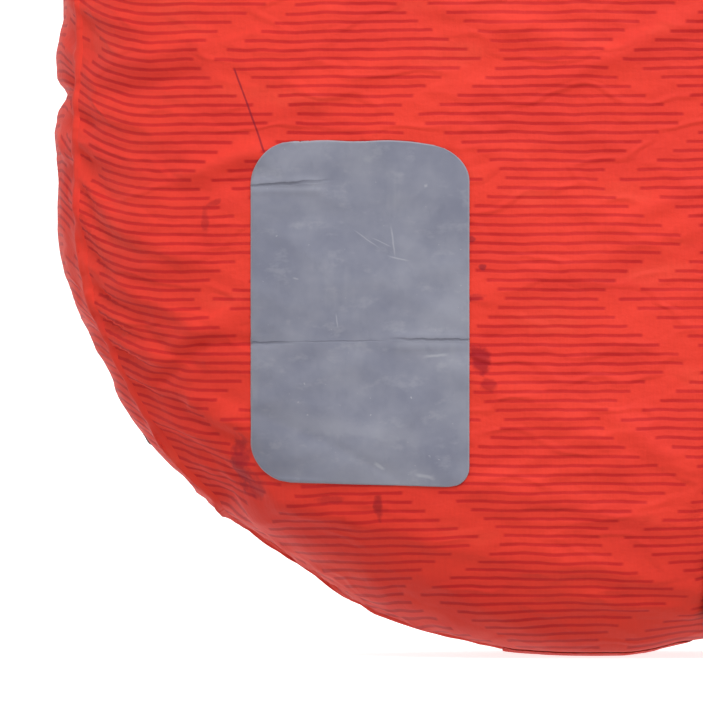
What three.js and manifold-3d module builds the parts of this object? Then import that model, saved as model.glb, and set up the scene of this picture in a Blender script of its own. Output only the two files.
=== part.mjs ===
// Compression sack, stuffed and standing on its base, with a strapped lid over a drawcord mouth.
// Millimetres, +Z up. The origin is on the floor under the middle of the sack, and -Y is its front.
import * as THREE from "three";
import { mergeVertices } from "three/addons/utils/BufferGeometryUtils.js";
import Module from "manifold-3d";

const wasm = await Module();
wasm.setup();

// Sack body: an oval tube with a rounded bowl below and a low gathered dome above
const SACK_HALF_WIDTH = 193;
const SACK_HALF_DEPTH = 95;
const OVAL_POWER = 2.6; // 2 is an ellipse, more is boxier
const BOWL_HEIGHT = 160;
const BOWL_WIDTH_POWER = 1.9;
const BOWL_DEPTH_POWER = 4;
const BASE_CUT = 3.2; // the bowl's tip is cut flat here, where the sack stands
const BASE_Z = 1.9;
const SHOULDER_Z = 395;
const DOME_HEIGHT = 55;
const DOME_POWER = 2.2;
const MOUTH_HALF_WIDTH = 36;
const MOUTH_HALF_DEPTH = 27;
const FABRIC = 1.2;
const SEAM_TURN = THREE.MathUtils.degToRad(10.9); // the sack stands a little twisted
const SEAM_GAP = 0.8;
const OVAL_SEGMENTS = 40;

// Lid: a skirt, a piped seam and a domed top
const SKIRT_INNER = 2.0; // clearance outside the sack's side
const SKIRT_OUTER = 3.5;
const SKIRT_BOTTOM_Z = 371;
const SKIRT_TOP_Z = 422.6;
const PIPING_Z = 425;
const PIPING_RADIUS = 2;
const LID_RIM_Z = 427.4;
const LID_RISE = 56;
const LID_POWER = 2.2;
const LID_FABRIC = 1.5;
const BINDING_BOTTOM_Z = 366.5;
const BINDING_TOP_Z = 370.6;

// Straps: placed along the girth from the front's middle, anticlockwise seen from above.
// Each runs under the bowl to its foot, as far in as its reach, and ends in a sewn anchor.
const STRAPS = [
  { along: 50, footZ: 12, anchorTopZ: 40, reach: 60 },
  { along: 368, footZ: 14, anchorTopZ: 42, reach: 66 },
  { along: 668, footZ: 56, anchorTopZ: 78, reach: 60 },
];
const STRAP_WIDTH = 20;
const STRAP_LAYER = [1.5, 2.9]; // clear of the fabric, measured outwards
const ANCHOR_LAYER = [3.3, 4.5];
const ANCHOR_WIDTH = 34;
const WEBBING = 1.4;

// Ladder lock, one on each strap
const LOCK_PIVOT_Z = 359.5;
const LOCK_OUT = 5.8; // from the sack's side to the middle of the frame
const LOCK_WIDTH = 27;
const LOCK_DEPTH = 4;
const LOCK_SLOT_WIDTH = 22;
const LOCK_BAR = 4;
const LOCK_BAR_PITCH = 9;
const LOCK_LIP = 11.5;
const TAB_TURN_RADIUS = 3.4; // the tab's middle line round the top bar
const LOCK_TURN_RADIUS = 3.6; // the webbing's middle line over the gripping bar
const TAIL_BOTTOM_Z = 284;
const PULL_TAB = { width: 22, height: 24, depth: 4.2 };

// Mouth: a drawcord in a hem, with a sprung cord lock
const HEM_HALF_WIDTH = 40;
const HEM_HALF_DEPTH = 31;
const HEM_Z = 455.6;
const HEM_RADIUS = 4.6;
const HEM_BORE = 2.3;
const CORD_RADIUS = 1.5;
const CORD_SPACING = 5.2; // between the two ends as they leave the hem
const CORD_END_X = 124;
const LOCK_X = 78;
const BARREL_RADIUS = 6.6;
const BARREL_ENDS = [-12.2, 9.2];
const BUTTON_RADIUS = 5;
const BUTTON_STROKE = 3;

// Adhesive repair patch and haul loop
const PATCH = { x: -87, z: 120, width: 76, height: 120, corner: 12 };
const PATCH_LAYER = [0.5, 1.4];
const LOOP = { x: -35, top: 132, length: 66, width: 20 };

const material = (color, roughness, metalness = 0) =>
  new THREE.MeshStandardMaterial({ color, roughness, metalness });
const shellFabric = material(0xd8412f, 0.62);
const webbingMaterial = material(0x2c2e33, 0.85);
const plastic = material(0x1d1e20, 0.4);
const patchFilm = material(0x868995, 0.5);
const cordMaterial = material(0x33363c, 0.8);
const steel = material(0xb9bcc0, 0.3, 1);
const liningTape = material(0x5b5f66, 0.8);

const group = new THREE.Group();

function add(name, geometry, finish, parent = group) {
  const mesh = new THREE.Mesh(geometry, finish);
  mesh.name = name;
  parent.add(mesh);
  return mesh;
}

function toSolid(geometry) {
  const bare = geometry.clone();
  bare.deleteAttribute("normal");
  bare.deleteAttribute("uv");
  const merged = mergeVertices(bare, 1e-4);
  return new wasm.Manifold(
    new wasm.Mesh({
      numProp: 3,
      vertProperties: merged.attributes.position.array,
      triVerts: new Uint32Array(merged.index.array),
    }),
  );
}

function toGeometry(solid) {
  const mesh = solid.getMesh();
  const geometry = new THREE.BufferGeometry();
  geometry.setAttribute("position", new THREE.BufferAttribute(mesh.vertProperties, 3));
  geometry.setIndex(new THREE.BufferAttribute(mesh.triVerts, 1));
  geometry.computeVertexNormals();
  return geometry;
}

const boxSolid = (width, depth, height, place = new THREE.Matrix4()) =>
  toSolid(new THREE.BoxGeometry(width, depth, height).applyMatrix4(place));

// A point of the oval with these half sizes, at a turn from +X towards +Y
function ovalPoint(turn, halfWidth, halfDepth) {
  const c = Math.cos(turn);
  const s = Math.sin(turn);
  const power = 2 / OVAL_POWER;
  return new THREE.Vector2(
    halfWidth * Math.sign(c) * Math.abs(c) ** power,
    halfDepth * Math.sign(s) * Math.abs(s) ** power,
  );
}

// A closed solid through a stack of ovals, lowest first, with flat ends
function ovalStack(levels) {
  const positions = [];
  const index = [];
  const n = OVAL_SEGMENTS;
  for (const { z, halfWidth, halfDepth } of levels) {
    for (let i = 0; i < n; i++) {
      const p = ovalPoint((i / n) * 2 * Math.PI, halfWidth, halfDepth);
      positions.push(p.x, p.y, z);
    }
  }
  const last = levels.length - 1;
  positions.push(0, 0, levels[0].z, 0, 0, levels[last].z);
  const foot = levels.length * n;
  for (let i = 0; i < n; i++) {
    const next = (i + 1) % n;
    index.push(foot, next, i, foot + 1, last * n + i, last * n + next);
    for (let k = 0; k < last; k++) {
      const a = k * n + i;
      const b = k * n + next;
      index.push(a, b, b + n, a, b + n, a + n);
    }
  }
  const geometry = new THREE.BufferGeometry();
  geometry.setAttribute("position", new THREE.Float32BufferAttribute(positions, 3));
  geometry.setIndex(index);
  return toSolid(geometry);
}

// A ring that follows the oval: section points are [outwards, z], anticlockwise
function ovalRing(section, halfWidth, halfDepth, segments = OVAL_SEGMENTS) {
  const positions = [];
  const index = [];
  const m = section.length;
  for (let i = 0; i < segments; i++) {
    for (const [out, z] of section) {
      const p = ovalPoint((i / segments) * 2 * Math.PI, halfWidth + out, halfDepth + out);
      positions.push(p.x, p.y, z);
    }
  }
  for (let i = 0; i < segments; i++) {
    for (let k = 0; k < m; k++) {
      const a = i * m + k;
      const b = i * m + ((k + 1) % m);
      const c = ((i + 1) % segments) * m + k;
      const d = ((i + 1) % segments) * m + ((k + 1) % m);
      index.push(a, c, d, a, d, b);
    }
  }
  const geometry = new THREE.BufferGeometry();
  geometry.setAttribute("position", new THREE.Float32BufferAttribute(positions, 3));
  geometry.setIndex(index);
  geometry.computeVertexNormals();
  return geometry;
}

const circleSection = (radius, z, sides) =>
  Array.from({ length: sides }, (_, k) => {
    const turn = (k / sides) * 2 * Math.PI;
    return [radius * Math.cos(turn), z + radius * Math.sin(turn)];
  });

const rectangleSection = (inner, outer, bottom, top) => [
  [inner, bottom],
  [outer, bottom],
  [outer, top],
  [inner, top],
];

// Heights and half sizes of the sack's outer surface, from the flat base up to the mouth
function sackProfile() {
  const levels = [];
  const bowlSteps = 8;
  const domeSteps = 5;
  const size = (half, power, z) =>
    half * (1 - ((BOWL_HEIGHT - z) / BOWL_HEIGHT) ** power) ** (1 / power);
  for (let i = 0; i <= bowlSteps; i++) {
    const z = BASE_CUT + (BOWL_HEIGHT - BASE_CUT) * (i / bowlSteps) ** 2;
    levels.push({
      z: z - BASE_CUT + BASE_Z,
      halfWidth: size(SACK_HALF_WIDTH, BOWL_WIDTH_POWER, z),
      halfDepth: size(SACK_HALF_DEPTH, BOWL_DEPTH_POWER, z),
    });
  }
  levels.push({ z: 280, halfWidth: SACK_HALF_WIDTH, halfDepth: SACK_HALF_DEPTH });
  for (let i = 0; i <= domeSteps; i++) {
    const turn = (i / domeSteps) * (Math.PI / 2);
    const share = Math.cos(turn) ** (2 / DOME_POWER);
    levels.push({
      z: SHOULDER_Z + DOME_HEIGHT * Math.sin(turn) ** (2 / DOME_POWER),
      halfWidth: MOUTH_HALF_WIDTH + (SACK_HALF_WIDTH - MOUTH_HALF_WIDTH) * share,
      halfDepth: MOUTH_HALF_DEPTH + (SACK_HALF_DEPTH - MOUTH_HALF_DEPTH) * share,
    });
  }
  return levels;
}

// The sack's outer shape moved outwards (or inwards, below zero) by a distance
function sackSolid(out, rise = 0) {
  const profile = sackProfile();
  const normal = (key, k) => {
    const a = profile[Math.max(k - 1, 0)];
    const b = profile[Math.min(k + 1, profile.length - 1)];
    return new THREE.Vector2(b.z - a.z, a[key] - b[key]).normalize();
  };
  const levels = profile.map((level, k) => {
    const across = normal("halfWidth", k);
    const deep = normal("halfDepth", k);
    const flat = k === 0;
    return {
      z: level.z + out * (flat ? -1 : (across.y + deep.y) / 2),
      halfWidth: level.halfWidth + out * across.x,
      halfDepth: level.halfDepth + out * deep.x,
    };
  });
  if (rise) levels.push({ ...levels[levels.length - 1], z: SHOULDER_Z + DOME_HEIGHT + rise });
  return ovalStack(levels);
}

// A skin around the sack between two distances from its surface
const sackLayer = ([inner, outer]) => sackSolid(outer).subtract(sackSolid(inner));

// A large block on one side of the seam's upright plane: side is -1 for the front, 1 for the back
function seamHalf(side, gap) {
  const size = 1200;
  const place = new THREE.Matrix4()
    .makeRotationZ(SEAM_TURN)
    .multiply(new THREE.Matrix4().makeTranslation(0, side * (size / 2 + gap), 0));
  return boxSolid(size, size, size, place);
}

function addSackPanels() {
  const shell = sackSolid(0).subtract(sackSolid(-FABRIC, 20));
  add("front_panel", toGeometry(shell.intersect(seamHalf(-1, SEAM_GAP / 2))), shellFabric);
  add("back_panel", toGeometry(shell.intersect(seamHalf(1, SEAM_GAP / 2))), shellFabric);
}

// The bound seam allowance stands inwards from the seam, down one side, under the base and up the other
function addSeamBinding() {
  const thickness = 1.8;
  const depth = 8;
  const band = sackSolid(-FABRIC - 0.5).subtract(sackSolid(-FABRIC - 0.5 - depth));
  const place = new THREE.Matrix4()
    .makeRotationZ(SEAM_TURN)
    .multiply(new THREE.Matrix4().makeTranslation(0, 0, SHOULDER_Z / 2));
  const slab = boxSolid(600, thickness, SHOULDER_Z - 10, place);
  add("seam_binding", toGeometry(band.intersect(slab)), liningTape);
}

// A flat shape given in X and Z, made a block that reaches through the sack's front
function frontPrism(shape) {
  const geometry = new THREE.ExtrudeGeometry(shape, {
    depth: 120,
    bevelEnabled: false,
    curveSegments: 4,
  });
  geometry.rotateX(Math.PI / 2);
  return toSolid(geometry);
}

function roundedRectangle(x, z, width, height, corner) {
  const left = x - width / 2;
  const right = x + width / 2;
  const low = z - height / 2;
  const high = z + height / 2;
  const shape = new THREE.Shape();
  shape.moveTo(left + corner, low);
  shape.lineTo(right - corner, low);
  shape.absarc(right - corner, low + corner, corner, -Math.PI / 2, 0);
  shape.lineTo(right, high - corner);
  shape.absarc(right - corner, high - corner, corner, 0, Math.PI / 2);
  shape.lineTo(left + corner, high);
  shape.absarc(left + corner, high - corner, corner, Math.PI / 2, Math.PI);
  shape.lineTo(left, low + corner);
  shape.absarc(left + corner, low + corner, corner, Math.PI, Math.PI * 1.5);
  return shape;
}

function addRepairPatch() {
  const shape = roundedRectangle(PATCH.x, PATCH.z, PATCH.width, PATCH.height, PATCH.corner);
  const film = sackLayer(PATCH_LAYER).intersect(frontPrism(shape));
  add("repair_patch", toGeometry(film), patchFilm);
}

// Reinforced pad that the sack stands on
function addBasePad() {
  const pad = ovalStack([
    { z: 0, halfWidth: 40, halfDepth: 46 },
    { z: 1.4, halfWidth: 42, halfDepth: 48 },
  ]);
  add("base_pad", toGeometry(pad), webbingMaterial);
}

// Where a strap stands on the sack's side: a point, and a group facing outwards along its -Y
function strapStation(along) {
  const steps = 3600;
  const points = [];
  for (let i = 0; i <= steps; i++) {
    const turn = -Math.PI / 2 + (i / steps) * 2 * Math.PI;
    points.push(ovalPoint(turn, SACK_HALF_WIDTH, SACK_HALF_DEPTH));
  }
  const lengths = [0];
  for (let i = 1; i <= steps; i++) {
    lengths.push(lengths[i - 1] + points[i].distanceTo(points[i - 1]));
  }
  const i = lengths.findIndex((length) => length >= along);
  const tangent = points[i + 1].clone().sub(points[i - 1]).normalize();
  const station = new THREE.Group();
  station.position.set(points[i].x, points[i].y, 0);
  station.rotation.z = Math.atan2(tangent.y, tangent.x);
  station.updateMatrix();
  group.add(station);
  return station;
}

// A block over one strap's line, from outside the sack inwards as far as reach, between two heights
function strapBlock(station, width, reach, bottom, top) {
  const outside = 12;
  const place = station.matrix
    .clone()
    .multiply(
      new THREE.Matrix4().makeTranslation(0, (reach - outside) / 2, (bottom + top) / 2),
    );
  return boxSolid(width, reach + outside, top - bottom, place);
}

// A flat strip along a line of [outwards, z] points in a station's own upright plane
function stripGeometry(line, width, thickness) {
  const points = line.map(([out, z]) => new THREE.Vector2(out, z));
  const sides = points.map((p, i) => {
    const a = points[Math.max(i - 1, 0)];
    const b = points[Math.min(i + 1, points.length - 1)];
    const along = b.clone().sub(a).normalize();
    return new THREE.Vector2(along.y, -along.x).multiplyScalar(thickness / 2);
  });
  const outline = [
    ...points.map((p, i) => p.clone().add(sides[i])),
    ...points.map((p, i) => p.clone().sub(sides[i])).reverse(),
  ];
  const geometry = new THREE.ExtrudeGeometry(new THREE.Shape(outline), {
    depth: width,
    bevelEnabled: false,
  });
  geometry.translate(0, 0, -width / 2);
  // shape X is outwards (the station's -Y) and shape Y is up
  geometry.applyMatrix4(
    new THREE.Matrix4().makeBasis(
      new THREE.Vector3(0, -1, 0),
      new THREE.Vector3(0, 0, 1),
      new THREE.Vector3(-1, 0, 0),
    ),
  );
  return geometry;
}

const arcLine = (out, z, radius, from, to, steps) =>
  Array.from({ length: steps + 1 }, (_, i) => {
    const turn = THREE.MathUtils.degToRad(from + ((to - from) * i) / steps);
    return [out + radius * Math.cos(turn), z + radius * Math.sin(turn)];
  });

// Height of the lid's top over a point in plan
function lidHeight(x, y) {
  const share =
    (Math.abs(x / (SACK_HALF_WIDTH + SKIRT_OUTER)) ** OVAL_POWER +
      Math.abs(y / (SACK_HALF_DEPTH + SKIRT_OUTER)) ** OVAL_POWER) **
    (1 / OVAL_POWER);
  return LID_RIM_Z + LID_RISE * Math.max(1 - share ** LID_POWER, 0) ** (1 / LID_POWER);
}

// Webbing sewn on the lid: over the rim, down the skirt, round the lock's top bar and back up behind
function lidTabLine(station) {
  const clear = 2.4;
  const line = [];
  for (const out of [-58, -44, -30, -18, -8, -1]) {
    const p = new THREE.Vector3(0, -out, 0).applyMatrix4(station.matrix);
    line.push([out + clear * (out > -12 ? 0.6 : 0.2), lidHeight(p.x, p.y) + clear]);
  }
  line.push([6.6, 429], [6.7, 422], [6.7, 368]);
  line.push(...arcLine(LOCK_OUT, LOCK_PIVOT_Z, TAB_TURN_RADIUS, 15, -190, 9));
  line.push([4.95, 366.4], [4.95, 392]);
  return line;
}

function ladderLockGeometry() {
  const high = LOCK_BAR / 2;
  const low = -2 * LOCK_BAR_PITCH - LOCK_LIP;
  const frame = roundedRectangle(0, (high + low) / 2, LOCK_WIDTH, high - low, 2.5);
  for (const k of [0, 1]) {
    const middle = -LOCK_BAR_PITCH * (k + 0.5);
    const slot = roundedRectangle(0, middle, LOCK_SLOT_WIDTH, LOCK_BAR_PITCH - LOCK_BAR, 1);
    frame.holes.push(slot);
  }
  const geometry = new THREE.ExtrudeGeometry(frame, {
    depth: LOCK_DEPTH - 1.6,
    bevelThickness: 0.8,
    bevelSize: 0.8,
    bevelOffset: -0.8,
    bevelSegments: 1,
    curveSegments: 2,
  });
  geometry.rotateX(Math.PI / 2);
  geometry.translate(0, LOCK_DEPTH / 2 - 0.8, 0);
  // ribs for the thumb on the lip
  const ribs = [0, 1, 2].map((k) =>
    toSolid(
      new THREE.CylinderGeometry(0.8, 0.8, 17, 6)
        .rotateZ(Math.PI / 2)
        .translate(0, -LOCK_DEPTH / 2 + 0.2, -2 * LOCK_BAR_PITCH - 4.6 - k * 2.4),
    ),
  );
  return toGeometry(ribs.reduce((solid, rib) => solid.add(rib), toSolid(geometry)));
}

function addStrap({ along, footZ, anchorTopZ, reach }, k) {
  const station = strapStation(along);
  const number = k + 1;
  const gripZ = LOCK_PIVOT_Z - 2 * LOCK_BAR_PITCH;
  const run = sackLayer(STRAP_LAYER).intersect(
    strapBlock(station, STRAP_WIDTH, reach, footZ, gripZ - 0.5),
  );
  add(`strap_run_${number}`, toGeometry(run), webbingMaterial);
  const anchor = sackLayer(ANCHOR_LAYER).intersect(
    strapBlock(station, ANCHOR_WIDTH, reach, footZ - 2, anchorTopZ),
  );
  add(`strap_anchor_${number}`, toGeometry(anchor), webbingMaterial);

  add(
    `lid_tab_${number}`,
    stripGeometry(lidTabLine(station), STRAP_WIDTH, 1.2),
    webbingMaterial,
    station,
  );
  const tail = [
    ...arcLine(LOCK_OUT, gripZ, LOCK_TURN_RADIUS, 180, 0, 8),
    [LOCK_OUT + LOCK_TURN_RADIUS, TAIL_BOTTOM_Z],
  ];
  add(
    `strap_tail_${number}`,
    stripGeometry(tail, STRAP_WIDTH, WEBBING),
    webbingMaterial,
    station,
  );
  const lock = new THREE.Group();
  lock.position.set(0, -LOCK_OUT, LOCK_PIVOT_Z);
  station.add(lock);
  add(`ladder_lock_${number}`, ladderLockGeometry(), plastic, lock);

  const tab = new THREE.ExtrudeGeometry(
    roundedRectangle(0, 0, PULL_TAB.width, PULL_TAB.height, 2),
    {
      depth: PULL_TAB.depth - 1,
      bevelSize: 0.5,
      bevelOffset: -0.5,
      bevelThickness: 0.5,
      bevelSegments: 1,
      curveSegments: 3,
    },
  );
  tab.rotateX(Math.PI / 2);
  tab.translate(0, PULL_TAB.depth / 2 - 0.5, 0);
  const pull = add(`pull_tab_${number}`, tab, webbingMaterial, station);
  pull.position.set(0, -LOCK_OUT - LOCK_TURN_RADIUS, TAIL_BOTTOM_Z - 0.5 - PULL_TAB.height / 2);
}

function addLid() {
  const ring = (section) => ovalRing(section, SACK_HALF_WIDTH, SACK_HALF_DEPTH);
  add(
    "lid_skirt",
    ring(rectangleSection(SKIRT_INNER, SKIRT_OUTER, SKIRT_BOTTOM_Z, SKIRT_TOP_Z)),
    shellFabric,
  );
  add(
    "lid_edge_binding",
    ring(rectangleSection(1.6, 3.8, BINDING_BOTTOM_Z, BINDING_TOP_Z)),
    webbingMaterial,
  );
  const piping = circleSection(PIPING_RADIUS, PIPING_Z, 6).map(([out, z]) => [
    out + (SKIRT_INNER + SKIRT_OUTER) / 2,
    z,
  ]);
  add("lid_piping", ring(piping), webbingMaterial);

  const dome = (out, bottom) => {
    const levels = [];
    const steps = 7;
    if (bottom < LID_RIM_Z) {
      levels.push({ z: bottom, halfWidth: SACK_HALF_WIDTH + out, halfDepth: SACK_HALF_DEPTH + out });
    }
    for (let i = 0; i <= steps; i++) {
      const turn = (i / steps) * (Math.PI / 2) * 0.96;
      const share = Math.cos(turn) ** (2 / LID_POWER);
      const rise = LID_RISE + out - SKIRT_OUTER;
      levels.push({
        z: LID_RIM_Z + rise * Math.sin(turn) ** (2 / LID_POWER),
        halfWidth: (SACK_HALF_WIDTH + out) * share,
        halfDepth: (SACK_HALF_DEPTH + out) * share,
      });
    }
    return ovalStack(levels);
  };
  const top = dome(SKIRT_OUTER, LID_RIM_Z).subtract(dome(SKIRT_OUTER - LID_FABRIC, LID_RIM_Z - 5));
  add("lid_top", toGeometry(top), shellFabric);
}

// Grab handle: a webbing arch with flat sewn feet on the lid's middle
function addLidHandle() {
  const top = lidHeight(0, 0);
  const foot = 1.6;
  const line = [
    [-76, lidHeight(76, 0) + foot],
    [-52, lidHeight(52, 0) + foot],
    [-42, top + 5],
    [-28, top + 15],
    [-12, top + 20],
    [12, top + 20],
    [28, top + 15],
    [42, top + 5],
    [52, lidHeight(52, 0) + foot],
    [76, lidHeight(76, 0) + foot],
  ];
  const handle = stripGeometry(line, STRAP_WIDTH, 1.8);
  handle.rotateZ(Math.PI / 2);
  add("lid_handle", handle, webbingMaterial);
}

// A cord along a path of points, its sections square to the path
function cordGeometry(points, radius, sides, steps) {
  const section = new THREE.Shape();
  for (let k = 0; k < sides; k++) {
    const turn = (k / sides) * 2 * Math.PI;
    const x = radius * Math.cos(turn);
    const y = radius * Math.sin(turn);
    if (k === 0) section.moveTo(x, y);
    else section.lineTo(x, y);
  }
  section.closePath();
  const path = new THREE.CatmullRomCurve3(points, false, "centripetal");
  return new THREE.ExtrudeGeometry(section, { steps, bevelEnabled: false, extrudePath: path });
}

function ellipseRing(radius, sides, segments) {
  const positions = [];
  const index = [];
  for (let i = 0; i < segments; i++) {
    const turn = (i / segments) * 2 * Math.PI;
    const normal = new THREE.Vector2(Math.cos(turn) / HEM_HALF_WIDTH, Math.sin(turn) / HEM_HALF_DEPTH);
    normal.normalize();
    for (let k = 0; k < sides; k++) {
      const lean = (k / sides) * 2 * Math.PI;
      const out = radius * Math.cos(lean);
      positions.push(
        HEM_HALF_WIDTH * Math.cos(turn) + normal.x * out,
        HEM_HALF_DEPTH * Math.sin(turn) + normal.y * out,
        HEM_Z + radius * Math.sin(lean),
      );
      const next = (k + 1) % sides;
      const a = i * sides + k;
      const b = i * sides + next;
      const c = ((i + 1) % segments) * sides + k;
      const d = ((i + 1) % segments) * sides + next;
      index.push(a, c, d, a, d, b);
    }
  }
  const geometry = new THREE.BufferGeometry();
  geometry.setAttribute("position", new THREE.Float32BufferAttribute(positions, 3));
  geometry.setIndex(index);
  return toSolid(geometry);
}

function addMouth() {
  // the cord runs once round inside the hem and both ends leave side by side
  const half = CORD_SPACING / 2;
  const end = [
    [CORD_END_X, HEM_Z - 5.4],
    [CORD_END_X - 10, HEM_Z - 1.6],
    [CORD_END_X - 17, HEM_Z],
    [LOCK_X, HEM_Z],
    [HEM_HALF_WIDTH + 9, HEM_Z],
    [HEM_HALF_WIDTH + 4.5, HEM_Z],
    [HEM_HALF_WIDTH + 3, HEM_Z],
  ];
  const path = end.map(([x, z]) => new THREE.Vector3(x, half, z));
  for (let degrees = 14; degrees <= 346; degrees += 16.6) {
    const turn = THREE.MathUtils.degToRad(degrees);
    path.push(
      new THREE.Vector3(HEM_HALF_WIDTH * Math.cos(turn), HEM_HALF_DEPTH * Math.sin(turn), HEM_Z),
    );
  }
  path.push(...end.reverse().map(([x, z]) => new THREE.Vector3(x, -half, z)));
  const channel = toSolid(cordGeometry(path, HEM_BORE, 6, 72));
  add("mouth_hem", toGeometry(ellipseRing(HEM_RADIUS, 8, 30).subtract(channel)), shellFabric);
  add("drawcord", cordGeometry(path, CORD_RADIUS, 6, 72), cordMaterial);

  const knot = new THREE.SphereGeometry(4.6, 10, 6);
  knot.scale(1.1, 1, 0.9);
  add("cord_end_knot", knot, cordMaterial).position.set(CORD_END_X + 5.4, 0, HEM_Z - 6.5);
}

// Sprung cord lock: a cup with a cross hole, a button with the same hole, and a coil spring under it
function addCordLock() {
  const lock = new THREE.Group();
  lock.position.set(LOCK_X, 0, HEM_Z);
  lock.rotation.x = Math.PI / 2; // the cup's axis lies along Y, its mouth to the front
  group.add(lock);
  const wall = 1.5;
  const bore = BUTTON_RADIUS + 0.3;
  const [bottom, top] = BARREL_ENDS;
  const cup = new THREE.LatheGeometry(
    [
      [0, bottom],
      [BARREL_RADIUS - 1, bottom],
      [BARREL_RADIUS, bottom + 1],
      [BARREL_RADIUS, top - 0.6],
      [BARREL_RADIUS - 0.6, top],
      [bore, top],
      [bore, bottom + wall],
      [0, bottom + wall],
    ].map(([r, z]) => new THREE.Vector2(r, z)),
    20,
  ).rotateX(Math.PI / 2);
  const slot = CORD_SPACING + 4.2;
  const cordHole = boxSolid(30, 4.2, slot);
  add("cord_lock_barrel", toGeometry(toSolid(cup).subtract(cordHole)), plastic, lock);
  const button = new THREE.LatheGeometry(
    [
      [0, -6.6],
      [BUTTON_RADIUS - 0.4, -6.6],
      [BUTTON_RADIUS, -6.2],
      [BUTTON_RADIUS, 12],
      [BUTTON_RADIUS - 1.4, 13.5],
      [0, 14],
    ].map(([r, z]) => new THREE.Vector2(r, z)),
    16,
  ).rotateX(Math.PI / 2);
  // the button's hole is longer by the stroke, so the cord is free when it is pressed
  const raised = new THREE.Matrix4().makeTranslation(0, 0, BUTTON_STROKE / 2);
  const buttonHole = boxSolid(30, 4.2, slot + BUTTON_STROKE, raised);
  add("cord_lock_button", toGeometry(toSolid(button).subtract(buttonHole)), plastic, lock);
  const coil = [];
  const turns = 3;
  const perTurn = 8;
  for (let i = 0; i <= turns * perTurn; i++) {
    const turn = (i / perTurn) * 2 * Math.PI;
    coil.push(
      new THREE.Vector3(3.6 * Math.cos(turn), 3.6 * Math.sin(turn), -10.2 + i * 0.13),
    );
  }
  add("cord_lock_spring", cordGeometry(coil, 0.22, 5, 48), steel, lock);
}

// Eyelets where the cord leaves the hem
function addEyelets() {
  for (const side of [-1, 1]) {
    const ring = new THREE.LatheGeometry(
      [
        [2, 0],
        [2.45, 0],
        [2.45, 1],
        [2, 1],
        [2, 0],
      ].map(([r, z]) => new THREE.Vector2(r, z)),
      12,
    ).rotateZ(-Math.PI / 2);
    const name = side < 0 ? "eyelet_front" : "eyelet_back";
    add(name, ring, steel).position.set(
      HEM_HALF_WIDTH + HEM_RADIUS + 0.4,
      (side * CORD_SPACING) / 2,
      HEM_Z,
    );
  }
}

// Haul loop: a folded webbing strip hanging from a sewn line on the back
function addHaulLoop() {
  const back = SACK_HALF_DEPTH;
  const station = new THREE.Group();
  station.position.set(LOOP.x, back, 0);
  station.rotation.z = Math.PI;
  group.add(station);
  const patch = roundedRectangle(0, LOOP.top + 13.5, 30, 22, 3);
  const plate = new THREE.ExtrudeGeometry(patch, { depth: 1.4, bevelEnabled: false, curveSegments: 3 });
  plate.rotateX(Math.PI / 2);
  plate.translate(0, -1.2, 0);
  add("haul_loop_anchor", plate, webbingMaterial, station);
  const low = LOOP.top - LOOP.length;
  const line = [
    [2.4, LOOP.top],
    [2.4, low + 8],
    ...arcLine(6.4, low + 4, 4, 180, 360, 6),
    [10.4, low + 8],
    [9.6, LOOP.top - 20],
    [4.6, LOOP.top - 3],
    [4.4, LOOP.top],
  ];
  add("haul_loop", stripGeometry(line, LOOP.width, 1.4), webbingMaterial, station);
}

addSackPanels();
addSeamBinding();
addRepairPatch();
addBasePad();
STRAPS.forEach(addStrap);
addLid();
addLidHandle();
addMouth();
addCordLock();
addEyelets();
addHaulLoop();

export default group;
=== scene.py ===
import math

import bmesh
import bpy
import numpy as np
from mathutils import Matrix, Vector
from mathutils.bvhtree import BVHTree


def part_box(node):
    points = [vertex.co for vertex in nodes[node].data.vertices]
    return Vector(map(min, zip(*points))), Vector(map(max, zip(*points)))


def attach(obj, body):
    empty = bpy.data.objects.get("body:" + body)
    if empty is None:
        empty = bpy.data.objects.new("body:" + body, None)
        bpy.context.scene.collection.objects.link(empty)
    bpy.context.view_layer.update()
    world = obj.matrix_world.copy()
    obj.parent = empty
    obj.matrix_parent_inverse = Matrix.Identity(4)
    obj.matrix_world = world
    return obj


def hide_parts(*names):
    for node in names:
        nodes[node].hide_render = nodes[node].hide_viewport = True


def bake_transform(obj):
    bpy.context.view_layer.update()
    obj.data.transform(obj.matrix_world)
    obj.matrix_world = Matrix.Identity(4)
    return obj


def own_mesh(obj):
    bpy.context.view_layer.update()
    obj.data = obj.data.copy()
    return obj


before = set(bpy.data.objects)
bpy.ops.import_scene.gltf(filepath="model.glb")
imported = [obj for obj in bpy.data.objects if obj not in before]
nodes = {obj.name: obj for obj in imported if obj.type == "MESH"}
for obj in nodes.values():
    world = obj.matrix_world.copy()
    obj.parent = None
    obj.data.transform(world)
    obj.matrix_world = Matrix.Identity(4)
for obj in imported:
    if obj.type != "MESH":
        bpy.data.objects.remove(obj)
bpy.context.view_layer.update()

scene = bpy.context.scene
print("frame loaded:", len(nodes), "nodes")

# camera, floor and light

studio = {
    "cameraPlace": (-0.0905, -4.04, 0.1073),
    "lens": 584,
    "floorRadius": 14,
    "floorGlow": 0.80,
    "worldLight": 0.57,
    "keyPlace": (0.4, -3.0, 2.5),
    "keyPower": 75,
    "keySize": 1.8,
    "topPlace": (-0.3, -0.8, 3.0),
    "topPower": 20,
    "backPlace": (1.0, 3.2, 2.4),
    "backPower": 40,
}

camera = bpy.data.objects.new("camera", bpy.data.cameras.new("camera"))
scene.collection.objects.link(camera)
camera.location = studio["cameraPlace"]
camera.rotation_euler = (math.pi / 2, 0, 0)
camera.data.sensor_width = 36
camera.data.lens = studio["lens"]
camera.data.clip_end = 60
scene.camera = camera
scene.view_settings.view_transform = "Standard"

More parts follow.
